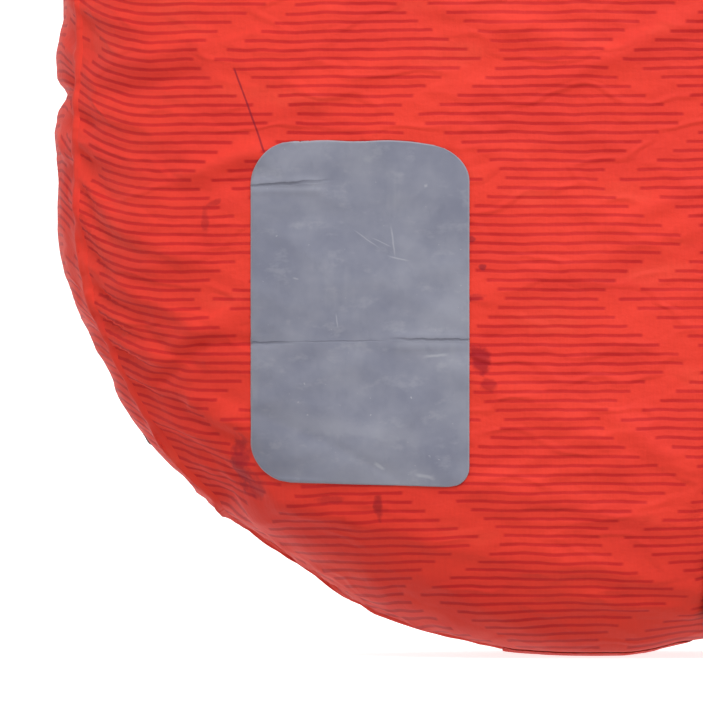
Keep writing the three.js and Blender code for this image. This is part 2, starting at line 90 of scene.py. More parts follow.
world = bpy.data.worlds.new("studioAir")
scene.world = world
world.use_nodes = True
air = world.node_tree.nodes["Background"]
air.inputs["Color"].default_value = (1.0, 0.99, 0.975, 1)
air.inputs["Strength"].default_value = studio["worldLight"]


def addLight(name, place, target, size, power, colour=(1, 1, 1)):
    lamp = bpy.data.objects.new(name, bpy.data.lights.new(name, "AREA"))
    scene.collection.objects.link(lamp)
    lamp.location = place
    lamp.rotation_euler = (Vector(target) - Vector(place)).to_track_quat("-Z", "Y").to_euler()
    lamp.data.shape = "DISK"
    lamp.data.size = size
    lamp.data.energy = power
    lamp.data.color = colour
    lamp.visible_camera = False
    return lamp


addLight("keyLight", studio["keyPlace"], (0, 0, 0.2), studio["keySize"], studio["keyPower"])
addLight("topLight", studio["topPlace"], (0, 0, 0.2), 1.6, studio["topPower"])
addLight("backLight", studio["backPlace"], (0, 0, 0.2), 2.0, studio["backPower"])


class Wire:
    # a socket that takes part in sums: each sum adds its Math node
    def __init__(self, paint, socket):
        self.paint, self.socket = paint, socket

    def step(self, operation, *terms):
        return self.paint.node("ShaderNodeMath", {"operation": operation}, dict(enumerate(terms)))

    def __add__(self, other):
        return self.step("ADD", self, other)

    def __sub__(self, other):
        return self.step("SUBTRACT", self, other)

    def __rsub__(self, other):
        return self.step("SUBTRACT", other, self)

    def __mul__(self, other):
        return self.step("MULTIPLY", self, other)

    def __truediv__(self, other):
        return self.step("DIVIDE", self, other)

    def __pow__(self, other):
        return self.step("POWER", self, other)

    def __abs__(self):
        return self.step("ABSOLUTE", self)

    def floor(self):
        return self.step("FLOOR", self)

    def fract(self):
        return self.step("FRACT", self)

    def most(self, other):
        return self.step("MAXIMUM", self, other)

    __radd__ = __add__
    __rmul__ = __mul__


class Paint:
    # one material and its nodes
    def __init__(self, name):
        self.material = bpy.data.materials.new(name)
        self.material.use_nodes = True
        self.tree = self.material.node_tree
        self.tree.nodes.clear()

    def node(self, kind, settings=None, sockets=None, output=0):
        made = self.tree.nodes.new(kind)
        for key, value in (settings or {}).items():
            if key == "stops":
                ramp = made.color_ramp.elements
                while len(ramp) < len(value):
                    ramp.new(0.5)
                for stop, (place, colour) in zip(ramp, value):
                    stop.position, stop.color = place, colour
            else:
                setattr(made, key, value)
        for key, value in (sockets or {}).items():
            if isinstance(value, Wire):
                self.tree.links.new(value.socket, made.inputs[key])
            else:
                made.inputs[key].default_value = value
        return Wire(self, made.outputs[output]) if made.outputs else None

    def mix(self, factor, first, second, blend="MIX"):
        return self.node("ShaderNodeMix", {"data_type": "RGBA", "blend_type": blend},
                         {0: factor, 6: first, 7: second}, 2)

    def smooth(self, value, low, high):
        return self.node("ShaderNodeMapRange", {"interpolation_type": "SMOOTHSTEP"},
                         {"Value": value, "From Min": low, "From Max": high})

    def noise(self, place, scale, detail=2.0, rough=0.5, stretch=None):
        if stretch:
            place = self.node("ShaderNodeMapping", None, {"Vector": place, "Scale": stretch})
        return self.node("ShaderNodeTexNoise", None,
                         {"Vector": place, "Scale": scale, "Detail": detail, "Roughness": rough})

    def places(self):
        return self.node("ShaderNodeTexCoord", None, None, "Object")

    def cut(self):
        # the cut cloth's own coordinates, in metres
        found = self.node("ShaderNodeUVMap", {"uv_map": "cut"})
        return (found, self.node("ShaderNodeSeparateXYZ", None, {0: found}, 0),
                self.node("ShaderNodeSeparateXYZ", None, {0: found}, 1))

    def bump(self, height, strength=0.5, distance=0.001):
        return self.node("ShaderNodeBump", None,
                         {"Height": height, "Strength": strength, "Distance": distance})

    def finish(self, sockets):
        shader = self.node("ShaderNodeBsdfPrincipled", None, sockets)
        self.node("ShaderNodeOutputMaterial", None, {"Surface": shader})
        return self.material


def colour(red, green, blue):
    # a colour picked as it looks on a screen, 0 to 255
    def straight(value):
        share = value / 255
        return share / 12.92 if share <= 0.04045 else ((share + 0.055) / 1.055) ** 2.4
    return (straight(red), straight(green), straight(blue), 1)


def studioFloor():
    # a wide dish: floor that turns up into a wall far away
    mesh = bmesh.new()
    radius = studio["floorRadius"]
    line = [(0, 0), (1.2, 0), (4, 0), (radius - 3, 0), (radius - 1.2, 0.4), (radius - 0.3, 1.4),
            (radius, 3.2), (radius, 9)]
    points = [mesh.verts.new((x, 0, z)) for x, z in line]
    edges = [mesh.edges.new(pair) for pair in zip(points, points[1:])]
    bmesh.ops.spin(mesh, geom=points + edges, cent=(0, 0, 0), axis=(0, 0, 1), angle=2 * math.pi,
                   steps=64, use_merge=True)
    bmesh.ops.remove_doubles(mesh, verts=mesh.verts, dist=0.0001)
    bmesh.ops.recalc_face_normals(mesh, faces=mesh.faces)
    data = bpy.data.meshes.new("studioFloor")
    mesh.to_mesh(data)
    mesh.free()
    floor = bpy.data.objects.new("studioFloor", data)
    scene.collection.objects.link(floor)
    for face in data.polygons:
        face.use_smooth = True
    paint = Paint("paleFloor")
    tone = paint.noise(paint.places(), 0.8, 2)
    data.materials.append(paint.finish({
        "Base Color": paint.mix(tone, (0.80, 0.80, 0.80, 1), (0.84, 0.84, 0.84, 1)),
        "Roughness": 0.9, "Emission Color": (1, 1, 1, 1), "Emission Strength": studio["floorGlow"]}))
    floor.visible_diffuse = False  # the cloth is lit by the lamps and the air alone


studioFloor()
print("studio ready")

# materials


def ripstopPaint(name, marks=False, plainCloth=False):
    # red striped nylon: dark woven stripes broken by plain zigzag bands
    stripes = {"pitch": 0.0032, "share": 0.40, "bandPitch": 0.07145, "bandPlace": -0.05705,
               "zigzagPeriod": 0.042, "zigzagTop": 0.2303, "zigzagReach": 0.0162,
               "bandHalf": 0.0080, "bandNarrow": 0.0046}
    p = Paint(name)
    place, across, up = p.cut()
    across = across + p.smooth(across, -0.150, -0.188) * 0.0075
    wander = p.noise(place, 38, 2)
    ripple = p.noise(place, 95, 2)
    along = up + (wander - 0.5) * 0.0018 + (ripple - 0.5) * 0.0009
    row = along / stripes["pitch"] + 0.5 - stripes["share"] / 2
    offMiddle = abs(row.fract() - 0.5)
    rowHeight = (row.floor() + stripes["share"] / 2) * stripes["pitch"]
    woven = p.smooth(offMiddle, stripes["share"] * 0.66, stripes["share"] * 0.22)
    turn = ((rowHeight - stripes["zigzagTop"]) / stripes["zigzagPeriod"]).fract()
    zigzag = abs(turn * 2 - 1) * 2 - 1
    column = ((across - stripes["bandPlace"]) / stripes["bandPitch"] + 0.5).floor()
    side = (column * 0.5).fract() * 4 - 1
    middle = column * stripes["bandPitch"] + stripes["bandPlace"] + side * zigzag * stripes["zigzagReach"]
    half = stripes["bandHalf"] - zigzag * zigzag * stripes["bandNarrow"]
    plain = p.smooth(abs(across - middle + (ripple - 0.5) * 0.002) - half, 0.0007, -0.0007)
    dark = woven * (0.0 if plainCloth else 1 - plain)
    light = p.mix(p.noise(place, 9, 3), colour(241, 67, 50), colour(236, 60, 46))
    stripe = p.mix(p.noise(place, 14, 2), colour(212, 45, 42), colour(203, 39, 39))
    # painted light and painted shade in patches along the weave: shaded mixes darker copies of both colours
    # in, fleck a paler copy of the pale one
    shaded = p.smooth(p.noise(place, 36, 4, 0.55, (0.5, 1.0, 1.0)), 0.45, 0.60)
    fleck = p.smooth(p.noise(place, 58, 3, 0.5, (0.4, 1.0, 1.0)), 0.56, 0.70)
    light = p.mix(shaded * 0.60, light, colour(230, 58, 47))
    light = p.mix(fleck * 0.45, light, colour(245, 79, 59))
    stripe = p.mix(shaded * 0.60, stripe, colour(188, 30, 32))
    worn = p.noise(place, 60, 4, 0.6)
    surfaceColour = p.mix(dark * (worn * 0.7 + 0.62), light, stripe)
    threads = p.noise(place, 900, 2, 0.5, (1.0, 0.18, 1.0))
    surfaceColour = p.mix(threads * 0.16, surfaceColour, colour(170, 28, 28))
    grime = p.smooth(p.noise(place, 24, 5, 0.62), 0.60, 0.78)
    surfaceColour = p.mix(grime * 0.22, surfaceColour, colour(176, 40, 38))
    rough = 0.52 + worn * 0.12
    if marks:
        wobble = (p.noise(place, 230, 3) - 0.5) * 2.8

        def spot(x, y, wide, high, lean=0.0):
            right, rise = across - x, up - y
            first = (right * math.cos(lean) + rise * math.sin(lean)) / wide
            second = (rise * math.cos(lean) - right * math.sin(lean)) / high
            return p.smooth(first * first + second * second + wobble, 1.25, 0.25)

        for x, y, wide, high, lean, depth, tone in (
                (-0.0460, 0.1045, 0.0036, 0.0060, 0.2, 0.72, colour(146, 12, 30)),
                (-0.0432, 0.0960, 0.0030, 0.0028, 0.0, 0.50, colour(150, 14, 30)),
                (-0.1345, 0.0680, 0.0046, 0.0105, -0.1, 0.55, colour(132, 26, 44)),
                (-0.1310, 0.0590, 0.0058, 0.0050, 0.3, 0.40, colour(140, 26, 44)),
                (-0.0815, 0.0535, 0.0019, 0.0046, 0.1, 0.60, colour(140, 24, 34)),
                (-0.0985, 0.0565, 0.0060, 0.0016, 0.0, 0.35, colour(150, 30, 40)),
                (-0.1430, 0.1525, 0.0017, 0.0052, 0.0, 0.42, colour(150, 26, 34)),
                (-0.1395, 0.1590, 0.0030, 0.0012, 0.4, 0.42, colour(150, 26, 34)),
                (-0.0450, 0.1365, 0.0015, 0.0013, 0.0, 0.60, colour(120, 26, 46)),
                (-0.0492, 0.1463, 0.0016, 0.0012, 0.0, 0.55, colour(126, 26, 46)),
                (-0.0475, 0.1260, 0.0040, 0.0014, 0.2, 0.35, colour(140, 26, 44))):
            surfaceColour = p.mix(spot(x, y, wide, high, lean) * depth, surfaceColour, tone)
        # a thin straight crease painted darker along its length: painted shade in the crease
        lean = math.atan2(-0.0298, 0.0116)
        right, rise = across + 0.1268, up - 0.1909
        off = abs(rise * math.cos(lean) - right * math.sin(lean))
        length = abs(right * math.cos(lean) + rise * math.sin(lean))
        line = p.smooth(off + wobble * 0.0001, 0.00055, 0.0001) * p.smooth(length, 0.0165, 0.0145)
        surfaceColour = p.mix(line * 0.72, surfaceColour, colour(120, 20, 44))
    crinkle = p.noise(place, 210, 4, 0.55, (0.7, 1.0, 1.0))
    soft = p.noise(place, 60, 3, 0.5, (0.6, 1.0, 1.0))
    crease = p.smooth(abs(p.noise(place, 46, 2, 0.5, (0.45, 1.0, 1.0)) - 0.5), 0.06, 0.0)
    height = crinkle * 0.30 + soft * 0.60 + threads * 0.05 - dark * 0.05 + crease * 0.22
    return p.finish({"Base Color": surfaceColour, "Roughness": rough, "IOR": 1.22,
                     "Normal": p.bump(height, 0.68, 0.0021)})


def filmPaint():
    # grey matt repair film: creases with painted shade along them, scratches, scuffs and a paler worn rim
    p = Paint("repairFilm")
    place, across, up = p.cut()
    rim = p.node("ShaderNodeAttribute", {"attribute_name": "rim"}, None, 2)
    cloudy = p.noise(place, 30, 4, 0.6)
    tone = p.mix(p.smooth(cloudy, 0.32, 0.68), colour(116, 119, 137), colour(140, 142, 156))
    streaks = p.noise(place, 55, 4, 0.6, (1.0, 0.25, 1.0))
    tone = p.mix(p.smooth(streaks, 0.56, 0.74) * 0.30, tone, colour(160, 161, 170))
    tone = p.mix(p.smooth(p.noise(place, 45, 4, 0.6, (0.2, 1.0, 1.0)), 0.58, 0.76) * 0.22, tone,
                 colour(112, 114, 130))
    scuffs = p.smooth(p.noise(place, 150, 4, 0.65, (0.6, 1.0, 1.0)), 0.54, 0.70)
    tone = p.mix(scuffs * 0.26, tone, colour(164, 165, 174))
    rubs = p.smooth(p.noise(place, 210, 4, 0.65, (1.0, 0.6, 1.0)), 0.55, 0.72)
    tone = p.mix(rubs * 0.22, tone, colour(106, 109, 126))
    tone = p.mix(p.smooth(p.noise(place, 640, 2), 0.725, 0.78) * 0.5, tone, colour(182, 183, 190))
    wobble = (p.noise(place, 240, 3) - 0.5)

    def stroke(x1, y1, x2, y2, wide, fade=0.65):
        length = math.hypot(x2 - x1, y2 - y1)
        lean = math.atan2(y2 - y1, x2 - x1)
        right, rise = across - (x1 + x2) / 2, up - (y1 + y2) / 2
        first = abs(right * math.cos(lean) + rise * math.sin(lean))
        second = abs(rise * math.cos(lean) - right * math.sin(lean) + wobble * wide * 1.7)
        return (p.smooth(second, wide, wide * 0.15)
                * p.smooth(first, length / 2, length / 2 * (1 - fade)))

    for stroked in (stroke(-0.0770, 0.1520, -0.0752, 0.1390, 0.00045),
                    stroke(-0.0785, 0.1405, -0.0700, 0.1385, 0.00040),
                    stroke(-0.0840, 0.1470, -0.0760, 0.1432, 0.00030),
                    stroke(-0.0905, 0.1500, -0.0800, 0.1425, 0.00030),
                    stroke(-0.0830, 0.0690, -0.0785, 0.0662, 0.00090),
                    stroke(-0.0690, 0.0650, -0.0610, 0.0632, 0.00110),
                    stroke(-0.0665, 0.1055, -0.0560, 0.1062, 0.00080),
                    stroke(-0.0960, 0.1210, -0.0950, 0.1150, 0.00035),
                    stroke(-0.1110, 0.1330, -0.1085, 0.1322, 0.00040),
                    stroke(-0.0655, 0.1646, -0.0640, 0.1646, 0.00090)):
        tone = p.mix(stroked * (0.16 + cloudy * 0.5), tone, colour(180, 181, 189))
    band = stroke(-0.1225, 0.0835, -0.0560, 0.0765, 0.0048)
    tone = p.mix(band * 0.28, tone, colour(158, 159, 170))
    creaseAndShade = (stroke(-0.1440, 0.1634, -0.0950, 0.1668, 0.00070)
               + stroke(-0.1440, 0.1100, -0.1080, 0.1104, 0.00070)
               + stroke(-0.0800, 0.1116, -0.0320, 0.1110, 0.00065)
               + stroke(-0.1130, 0.1106, -0.0760, 0.1110, 0.00040) * 0.35)
    # painted shade: the film is darkened along its creases
    tone = p.mix(creaseAndShade * 0.55, tone, colour(92, 94, 110))
    tone = p.mix(p.smooth(rim, 0.35, 1.0) * 0.55, tone, colour(168, 168, 176))
    height = cloudy * 0.25 - creaseAndShade * 0.9 + p.noise(place, 500, 2) * 0.06 + band * 0.1
    return p.finish({"Base Color": tone, "Roughness": 0.50 + cloudy * 0.14,
                     "Specular IOR Level": 0.4, "Normal": p.bump(height, 0.45, 0.0012)})


clothPaint = ripstopPaint("ripstopCloth")
markedPaint = ripstopPaint("ripstopFront", marks=True)
weltPaint = ripstopPaint("plainCloth", plainCloth=True)
patchPaint = filmPaint()
print("cloth materials ready")

# the stuffed body

sackBody = {
    "halfWidth": 0.193, "halfDepth": 0.095, "ovalPower": 2.6,
    "bowlHeight": 0.160, "bowlDepthPower": 4, "bowlDrop": 0.0013,
    "shoulder": 0.395, "domeHeight": 0.055, "domePower": 2.2, "mouth": (0.036, 0.027),
    "standHeight": 0.0019, "bowlWidthPower": 1.9, "outlineTop": 0.21,
    # where the filling draws the bowl's side in or pushes it out: height, reach and amount
    "slumps": [(0.034, 0.014, -0.0055), (0.068, 0.018, 0.0018)],
    "seamDepth": 0.40,  # where the side seam stands, as a share of the half depth
    "rowStep": 0.0019, "sideRowStep": 0.0070, "thickness": 0.0005,
    "backShift": 0.0229,  # moves the back's pattern round so that a plain band meets the left seam
}

straps = [
    {"place": (0.05019, -0.09389), "along": (0.9983, 0.0581), "foot": 0.012, "reach": 0.060,
     "anchorTop": 0.040},
    {"place": (0.11559, 0.08445), "along": (-0.9674, 0.2532), "foot": 0.014, "reach": 0.066,
     "anchorTop": 0.042},
    {"place": (-0.17449, 0.05404), "along": (-0.6955, -0.7185), "foot": 0.063, "reach": 0.060,
     "anchorTop": 0.078},
]
for strap in straps:
    strap["out"] = (strap["along"][1], -strap["along"][0])


def runAlong(points):
    # the length along a line of points, from its first one
    return np.concatenate([[0], np.cumsum(np.linalg.norm(np.diff(points, axis=0), axis=1))])


def easeBetween(value, low, high):
    share = np.clip((value - low) / (high - low), 0, 1)
    return share * share * (3 - 2 * share)


def gridNoise(x, y, cell, seed, stretch=1.0, lean=0.0):
    # smooth seeded noise from -1 to 1 with cells of this size, longer along its lean
    grid = np.random.default_rng(seed).uniform(-1, 1, (97, 97))
    first = (x * math.cos(lean) + y * math.sin(lean)) / (cell * stretch) + 40
    second = (y * math.cos(lean) - x * math.sin(lean)) / cell + 40
    i, j = np.floor(first).astype(int), np.floor(second).astype(int)
    u, v = first - i, second - j
    u, v = u * u * (3 - 2 * u), v * v * (3 - 2 * v)
    corner = lambda a, b: grid[(i + a) % 97, (j + b) % 97]
    return ((corner(0, 0) * (1 - u) + corner(1, 0) * u) * (1 - v)
            + (corner(0, 1) * (1 - u) + corner(1, 1) * u) * v)


def ridges(x, y, cell, seed, stretch=1.0, lean=0.0):
    # narrow soft ridges where the noise crosses zero
    return np.exp(-(gridNoise(x, y, cell, seed, stretch, lean) / 0.22) ** 2)


def sharpRidges(x, y, cell, seed, stretch=1.0, lean=0.0):
    return np.exp(-np.abs(gridNoise(x, y, cell, seed, stretch, lean)) / 0.16)


def bodyRows():
    # half width, half depth and height of each row, from the base's middle to the mouth
    b = sackBody
    level = b["standHeight"] + (b["outlineTop"] - b["standHeight"]) * np.linspace(0, 1, 900) ** 2
    sunk = np.clip(1 - level / b["bowlHeight"], 0, 1)
    half = b["halfWidth"] * (1 - sunk ** b["bowlWidthPower"]) ** (1 / b["bowlWidthPower"])
    for middle, reach, amount in b["slumps"]:
        half = half + amount * np.exp(-((level - middle) / reach) ** 2)
    line = np.column_stack([np.append(0, half), np.append(level[0], level)])
    length = np.concatenate([[0], np.cumsum(np.hypot(*np.diff(line, axis=0).T))])
    even = np.arange(0, length[-1], 0.0005)
    fine = np.column_stack([np.interp(even, length, line[:, k]) for k in (0, 1)])
    window = np.hanning(27)
    window /= window.sum()
    padded = np.vstack([np.repeat(fine[:1], 13, 0), fine, np.repeat(fine[-1:], 13, 0)])
    fine = np.column_stack([np.convolve(padded[:, k], window, "valid") for k in (0, 1)])
    length = np.concatenate([[0], np.cumsum(np.hypot(*np.diff(fine, axis=0).T))])
    start = 0.031
    steps = np.concatenate([np.linspace(0, start, 7)[:-1],
                            np.arange(start, length[-1], b["rowStep"])])
    width, height = np.interp(steps, length, fine[:, 0]), np.interp(steps, length, fine[:, 1])
    top = height[-1]
    middle = np.concatenate([np.arange(top + b["rowStep"], 0.245, b["rowStep"]),
                             np.arange(0.245, b["shoulder"], b["sideRowStep"])])
    turn = np.linspace(0, math.pi / 2, 12)
    share = np.cos(turn) ** (2 / b["domePower"])
    width = np.concatenate([width, np.full(len(middle), b["halfWidth"]),
                            b["mouth"][0] + (b["halfWidth"] - b["mouth"][0]) * share])
    height = np.concatenate([height, middle,
                             b["shoulder"] + b["domeHeight"] * np.sin(turn) ** (2 / b["domePower"])])
    # half depth
    bowl = np.clip((b["bowlHeight"] - height - b["bowlDrop"]) / b["bowlHeight"], 0, 0.98)
    depth = b["halfDepth"] * (1 - bowl ** b["bowlDepthPower"]) ** (1 / b["bowlDepthPower"])
    flat = width < 0.030
    depth[flat] = 0.050 * (width[flat] / 0.030) ** 0.9
    depth[-12:] = b["mouth"][1] + (b["halfDepth"] - b["mouth"][1]) * share
    return width, depth, height


def ovalPoint(turn, width, depth):
    # turn is 0 at the front's middle and grows to the right
    power = sackBody["ovalPower"]
    reach = (np.abs(np.sin(turn)) ** power + np.abs(np.cos(turn)) ** power) ** (-1 / power)
    return width * reach * np.sin(turn), -depth * reach * np.cos(turn)


def seamTurn(height):
    # the left seam's turn at this height: it slides round to the side where the bowl closes
    share = sackBody["seamDepth"] * easeBetween(height, 0.043, 0.057)
    power = sackBody["ovalPower"]
    across = (1 - share ** power) ** (1 / power)
    return -np.arctan2(across, share)


def strapCover(points):
    # 1 under a strap, fading to 0 beside it
    cover = np.zeros(points.shape[:-1])
    for strap in straps:
        off = points[..., :2] - np.array(strap["place"])
        across = np.abs(off @ np.array(strap["along"]))
        outward = off @ np.array(strap["out"])
        near = (1 - easeBetween(across, 0.0125, 0.022)) * (outward > -strap["reach"] - 0.004)
        foot = strap["foot"] - 0.006
        cover = np.maximum(cover, near * easeBetween(points[..., 2], foot, foot + 0.006))
    hung = ((1 - easeBetween(np.abs(points[..., 0] + 0.035), 0.016, 0.026)) * (points[..., 1] > 0)
            * easeBetween(points[..., 2], 0.050, 0.062) * (1 - easeBetween(points[..., 2], 0.158, 0.170)))
    return np.maximum(cover, hung)


def clothHeight(u, v, points, seamGap, side):
    # how far the stuffed cloth stands off its smooth shape
    z = points[..., 2]
    lumps = (0.00150 * gridNoise(u, v, 0.072, 11 + side, 1.3, 0.5)
             + 0.00095 * gridNoise(u, v, 0.036, 21 + side, 1.5, -0.6)
             + 0.00045 * gridNoise(u, v, 0.019, 25 + side, 1.8, 0.7))
    creases = (0.00062 * ridges(u, v, 0.030, 31 + side, 2.6, 0.45)
               + 0.00046 * ridges(u, v, 0.021, 41 + side, 2.8, -0.50)
               - 0.00040 * ridges(u, v, 0.026, 51 + side, 3.0, 0.15))
    small = (0.00010 * gridNoise(u, v, 0.008, 61 + side, 2.2, 0.3)
             + 0.00010 * gridNoise(u, v, 0.0085, 66 + side, 2.2, -0.7))
    # puckers square to the side seams, where the stitching gathers the cloth
    wander = 0.6 * gridNoise(u, v, 0.030, 71 + side) + 0.9 * gridNoise(0 * u, v, 0.045, 75 + side)
    wave = np.sin(2 * math.pi * (v / 0.0150 + wander + seamGap * 9))
    wave = wave + 0.45 * np.sin(2 * math.pi * (v / 0.0068 + wander * 1.7))
    gather = np.exp(-(seamGap / 0.022) ** 1.2) * (0.75 + 0.55 * gridNoise(0 * u, v, 0.028, 79 + side))
    puckers = 0.00150 * wave * gather * (0.25 + 0.75 * easeBetween(seamGap, 0.001, 0.009))
    tucked = (0.0009 * np.exp(-(seamGap / 0.0036) ** 2)
              - 0.0005 * np.exp(-((seamGap - 0.0085) / 0.0045) ** 2))
    height = lumps + creases + small + puckers + tucked
    # crisp little creases, thickest where the bowl is crushed
    crushed = 0.35 + 0.65 * easeBetween(gridNoise(u, v, 0.030, 91 + side), -0.25, 0.35)
    crushed = crushed * (0.55 + 0.75 * (1 - easeBetween(z, 0.070, 0.150)))
    fine = (0.00085 * sharpRidges(u, v, 0.027, 93 + side, 2.6, 0.55)
            - 0.00070 * sharpRidges(u, v, 0.022, 95 + side, 2.8, -0.35)
            + 0.00060 * sharpRidges(u, v, 0.019, 97 + side, 3.0, 0.15))
    height = height + fine * crushed
    if side == 1:
        # dents and bulges of the outline beside the left seam
        left = easeBetween(-points[..., 0], 0.110, 0.150)
        dents = [(0.1980, -0.0046, 0.0036), (0.2110, 0.0010, 0.0060),
                 (0.1800, 0.0008, 0.0070), (0.0525, 0.0016, 0.0030),
                 (0.1250, 0.0006, 0.0050), (0.0980, -0.0010, 0.0070)]
        for level, deep, wide in dents:
            height = height + left * deep * np.exp(-((z - level) / wide) ** 2)
    if side == 0:
        height = height + frontFolds(u, v)
    low = 0.25 + 0.75 * easeBetween(z, 0.001, 0.012)
    calm = 1 - 0.62 * easeBetween(z, 0.300, 0.338)
    height = height * low * calm
    cover = strapCover(points)
    sunk = -0.0005 - 0.0009 * (1 - easeBetween(z, 0.090, 0.150))
    height = height * (1 - cover) + (sunk + 0.12 * height) * cover
    top = np.where(z > 0.33, 0.0008, 0.0048)
    return np.clip(height, -0.006, top)


def frontFolds(u, v):
    # the folds and creases that the filling pushes into the front: ends, width and height of each
    folds = [
        ((-0.102, 0.196), (-0.0385, 0.217), 0.0055, 0.0011),
        ((-0.098, 0.192), (-0.056, 0.211), 0.0040, -0.0008),
        ((-0.149, 0.169), (-0.126, 0.176), 0.0036, 0.0014),
        ((-0.152, 0.163), (-0.124, 0.170), 0.0040, -0.0008),
        ((-0.166, 0.095), (-0.147, 0.1095), 0.0026, -0.0016),
        ((-0.147, 0.1095), (-0.122, 0.1108), 0.0020, -0.0013),
        ((-0.166, 0.101), (-0.140, 0.116), 0.0050, 0.0012),
        ((-0.152, 0.087), (-0.133, 0.0805), 0.0036, 0.0013),
        ((-0.160, 0.088), (-0.132, 0.0735), 0.0040, -0.0007),
        ((-0.002, 0.087), (0.015, 0.0740), 0.0028, 0.0004),
        ((0.013, 0.0745), (0.030, 0.0655), 0.0026, 0.0004),
        ((-0.006, 0.082), (0.012, 0.0680), 0.0032, -0.0004),
        ((-0.050, 0.099), (-0.002, 0.0760), 0.0050, 0.0007),
        ((-0.040, 0.060), (0.012, 0.0480), 0.0050, 0.0010),
        ((-0.020, 0.035), (0.030, 0.0220), 0.0040, 0.0009),
        ((-0.063, 0.0400), (-0.020, 0.0300), 0.0045, 0.0008),
        ((-0.005, 0.018), (0.028, 0.0120), 0.0034, 0.0010),
        ((-0.040, 0.128), (0.030, 0.150), 0.0060, 0.0008),
        ((-0.060, 0.228), (-0.010, 0.2120), 0.0050, 0.0010),
        ((-0.010, 0.205), (0.030, 0.225), 0.0040, 0.0009),
        ((-0.180, 0.206), (-0.150, 0.214), 0.0034, 0.0012),
        ((-0.183, 0.196), (-0.152, 0.203), 0.0030, -0.0011),
        ((-0.182, 0.150), (-0.150, 0.140), 0.0034, 0.0010),
        ((-0.178, 0.128), (-0.150, 0.118), 0.0030, 0.0011),
        ((-0.170, 0.113), (-0.150, 0.102), 0.0026, -0.0009),
        ((-0.120, 0.055), (-0.080, 0.0465), 0.0040, 0.0009),
    ]
    total = np.zeros_like(u)
    foldGain = 1.3
    for (x1, y1), (x2, y2), wide, high in folds:
        length = math.hypot(x2 - x1, y2 - y1)
        ax, ay = (x2 - x1) / length, (y2 - y1) / length
        first = (u - x1) * ax + (v - y1) * ay
        second = (v - y1) * ax - (u - x1) * ay + 0.12 * wide * np.sin(first * 210)
        past = np.maximum(np.maximum(-first, first - length), 0)
        total = total + high * foldGain * np.exp(-(second / wide) ** 2 - (past / (length * 0.22)) ** 2)
    return total


def cutHeight(z, seamGap, side):
    # the pattern's own height: it runs under the bowl and climbs towards the side seams
    under = 0.0031 * np.clip((0.070 - z) / 0.044, 0, 3) ** 1.9
    climb = np.clip(1 - seamGap / 0.042, 0, 1) ** 1.9
    if side == 1:
        climb = (1 + 0.6 * easeBetween(seamGap, 0, 0.020)) * (1 - easeBetween(seamGap, 0.030, 0.090))
    reach = 0.0105 * easeBetween(z, 0.0, 0.030)
    return z - under - reach * climb


def clothGrid(side, shares):
    # side 0 is the front and 1 the back: points, outward normals and cut coordinates
    width, depth, height = (a[:, None] for a in bodyRows())
    left = seamTurn(height)
    start, end = (left, left + math.pi) if side == 0 else (left + math.pi, left + 2 * math.pi)
    turn = start + (end - start) * np.linspace(0, 1, 900)[None, :]
    x, y = ovalPoint(turn, width, depth)
    run = np.concatenate([np.zeros((len(x), 1)),
                          np.cumsum(np.hypot(np.diff(x, axis=1), np.diff(y, axis=1)), axis=1)], axis=1)
    middle = np.zeros((len(x), 1)) if side == 0 else np.full((len(x), 1), math.pi)
    columns = np.empty((len(x), len(shares)))
    u, gap = columns.copy(), columns.copy()
    for k in range(len(x)):
        columns[k] = np.interp(shares * run[k, -1], run[k], turn[k])
        origin = np.interp(middle[k, 0], turn[k], run[k])
        u[k] = shares * run[k, -1] - origin
        gap[k] = np.minimum(shares, 1 - shares) * run[k, -1]
    x, y = ovalPoint(columns, width, depth)
    points = np.stack([x, y, height + 0 * x], axis=-1)
    rise, sweep = np.gradient(points, axis=0), np.gradient(points, axis=1)
    normal = np.cross(sweep, rise)
    normal /= np.maximum(np.linalg.norm(normal, axis=-1, keepdims=True), 1e-12)
    normal[:7] = (0, 0, -1)
    v = cutHeight(points[..., 2], gap, side)
    lift = clothHeight(u, v, points, gap, side)
    base = points
    points = points + normal * lift[..., None]
    # the bowl's right side stands a little clear of the floor
    points[..., 2] += (0.0034 * easeBetween(points[..., 0], 0.004, 0.030)
                       * (1 - easeBetween(points[..., 0], 0.060, 0.110))
                       * (1 - easeBetween(points[..., 2], 0.002, 0.024)))
    points[..., 2] = np.maximum(points[..., 2], 0.0017)
    u = u + (sackBody["backShift"] if side == 1 else 0)
    return {"points": points, "normal": normal, "u": u, "v": v, "gap": gap, "base": base}


def linkMesh(name, mesh, *paints):
    data = bpy.data.meshes.new(name)
    mesh.to_mesh(data)
    mesh.free()
    for face in data.polygons:
        face.use_smooth = True
    piece = bpy.data.objects.new(name, data)
    scene.collection.objects.link(piece)
    for paint in paints:
        data.materials.append(paint)
    return piece


def gridMesh(name, points, u, v, paint, flip=False):
    # a sheet of rows and columns, with its cut coordinates
    rows, columns = points.shape[:2]
    mesh = bmesh.new()
    cut = mesh.loops.layers.uv.new("cut")
    bmesh.ops.create_grid(mesh, x_segments=columns - 1, y_segments=rows - 1, size=1)
    order = sorted(mesh.verts, key=lambda vert: (round(vert.co.y, 6), round(vert.co.x, 6)))
    flatU, flatV, flatPoints = u.ravel(), v.ravel(), points.reshape(-1, 3)
    number = {}
    for k, vert in enumerate(order):
        vert.co = flatPoints[k]
        number[vert] = k
    for face in mesh.faces:
        for loop in face.loops:
            k = number[loop.vert]
            loop[cut].uv = (flatU[k], flatV[k])
    if flip:
        bmesh.ops.reverse_faces(mesh, faces=mesh.faces)
    bmesh.ops.remove_doubles(mesh, verts=mesh.verts, dist=0.00002)
    return linkMesh(name, mesh, paint)


def thicken(piece, thickness, offset=-1):
    wall = piece.modifiers.new("wall", "SOLIDIFY")
    wall.thickness, wall.offset = thickness, offset
    wall.use_even_offset = False


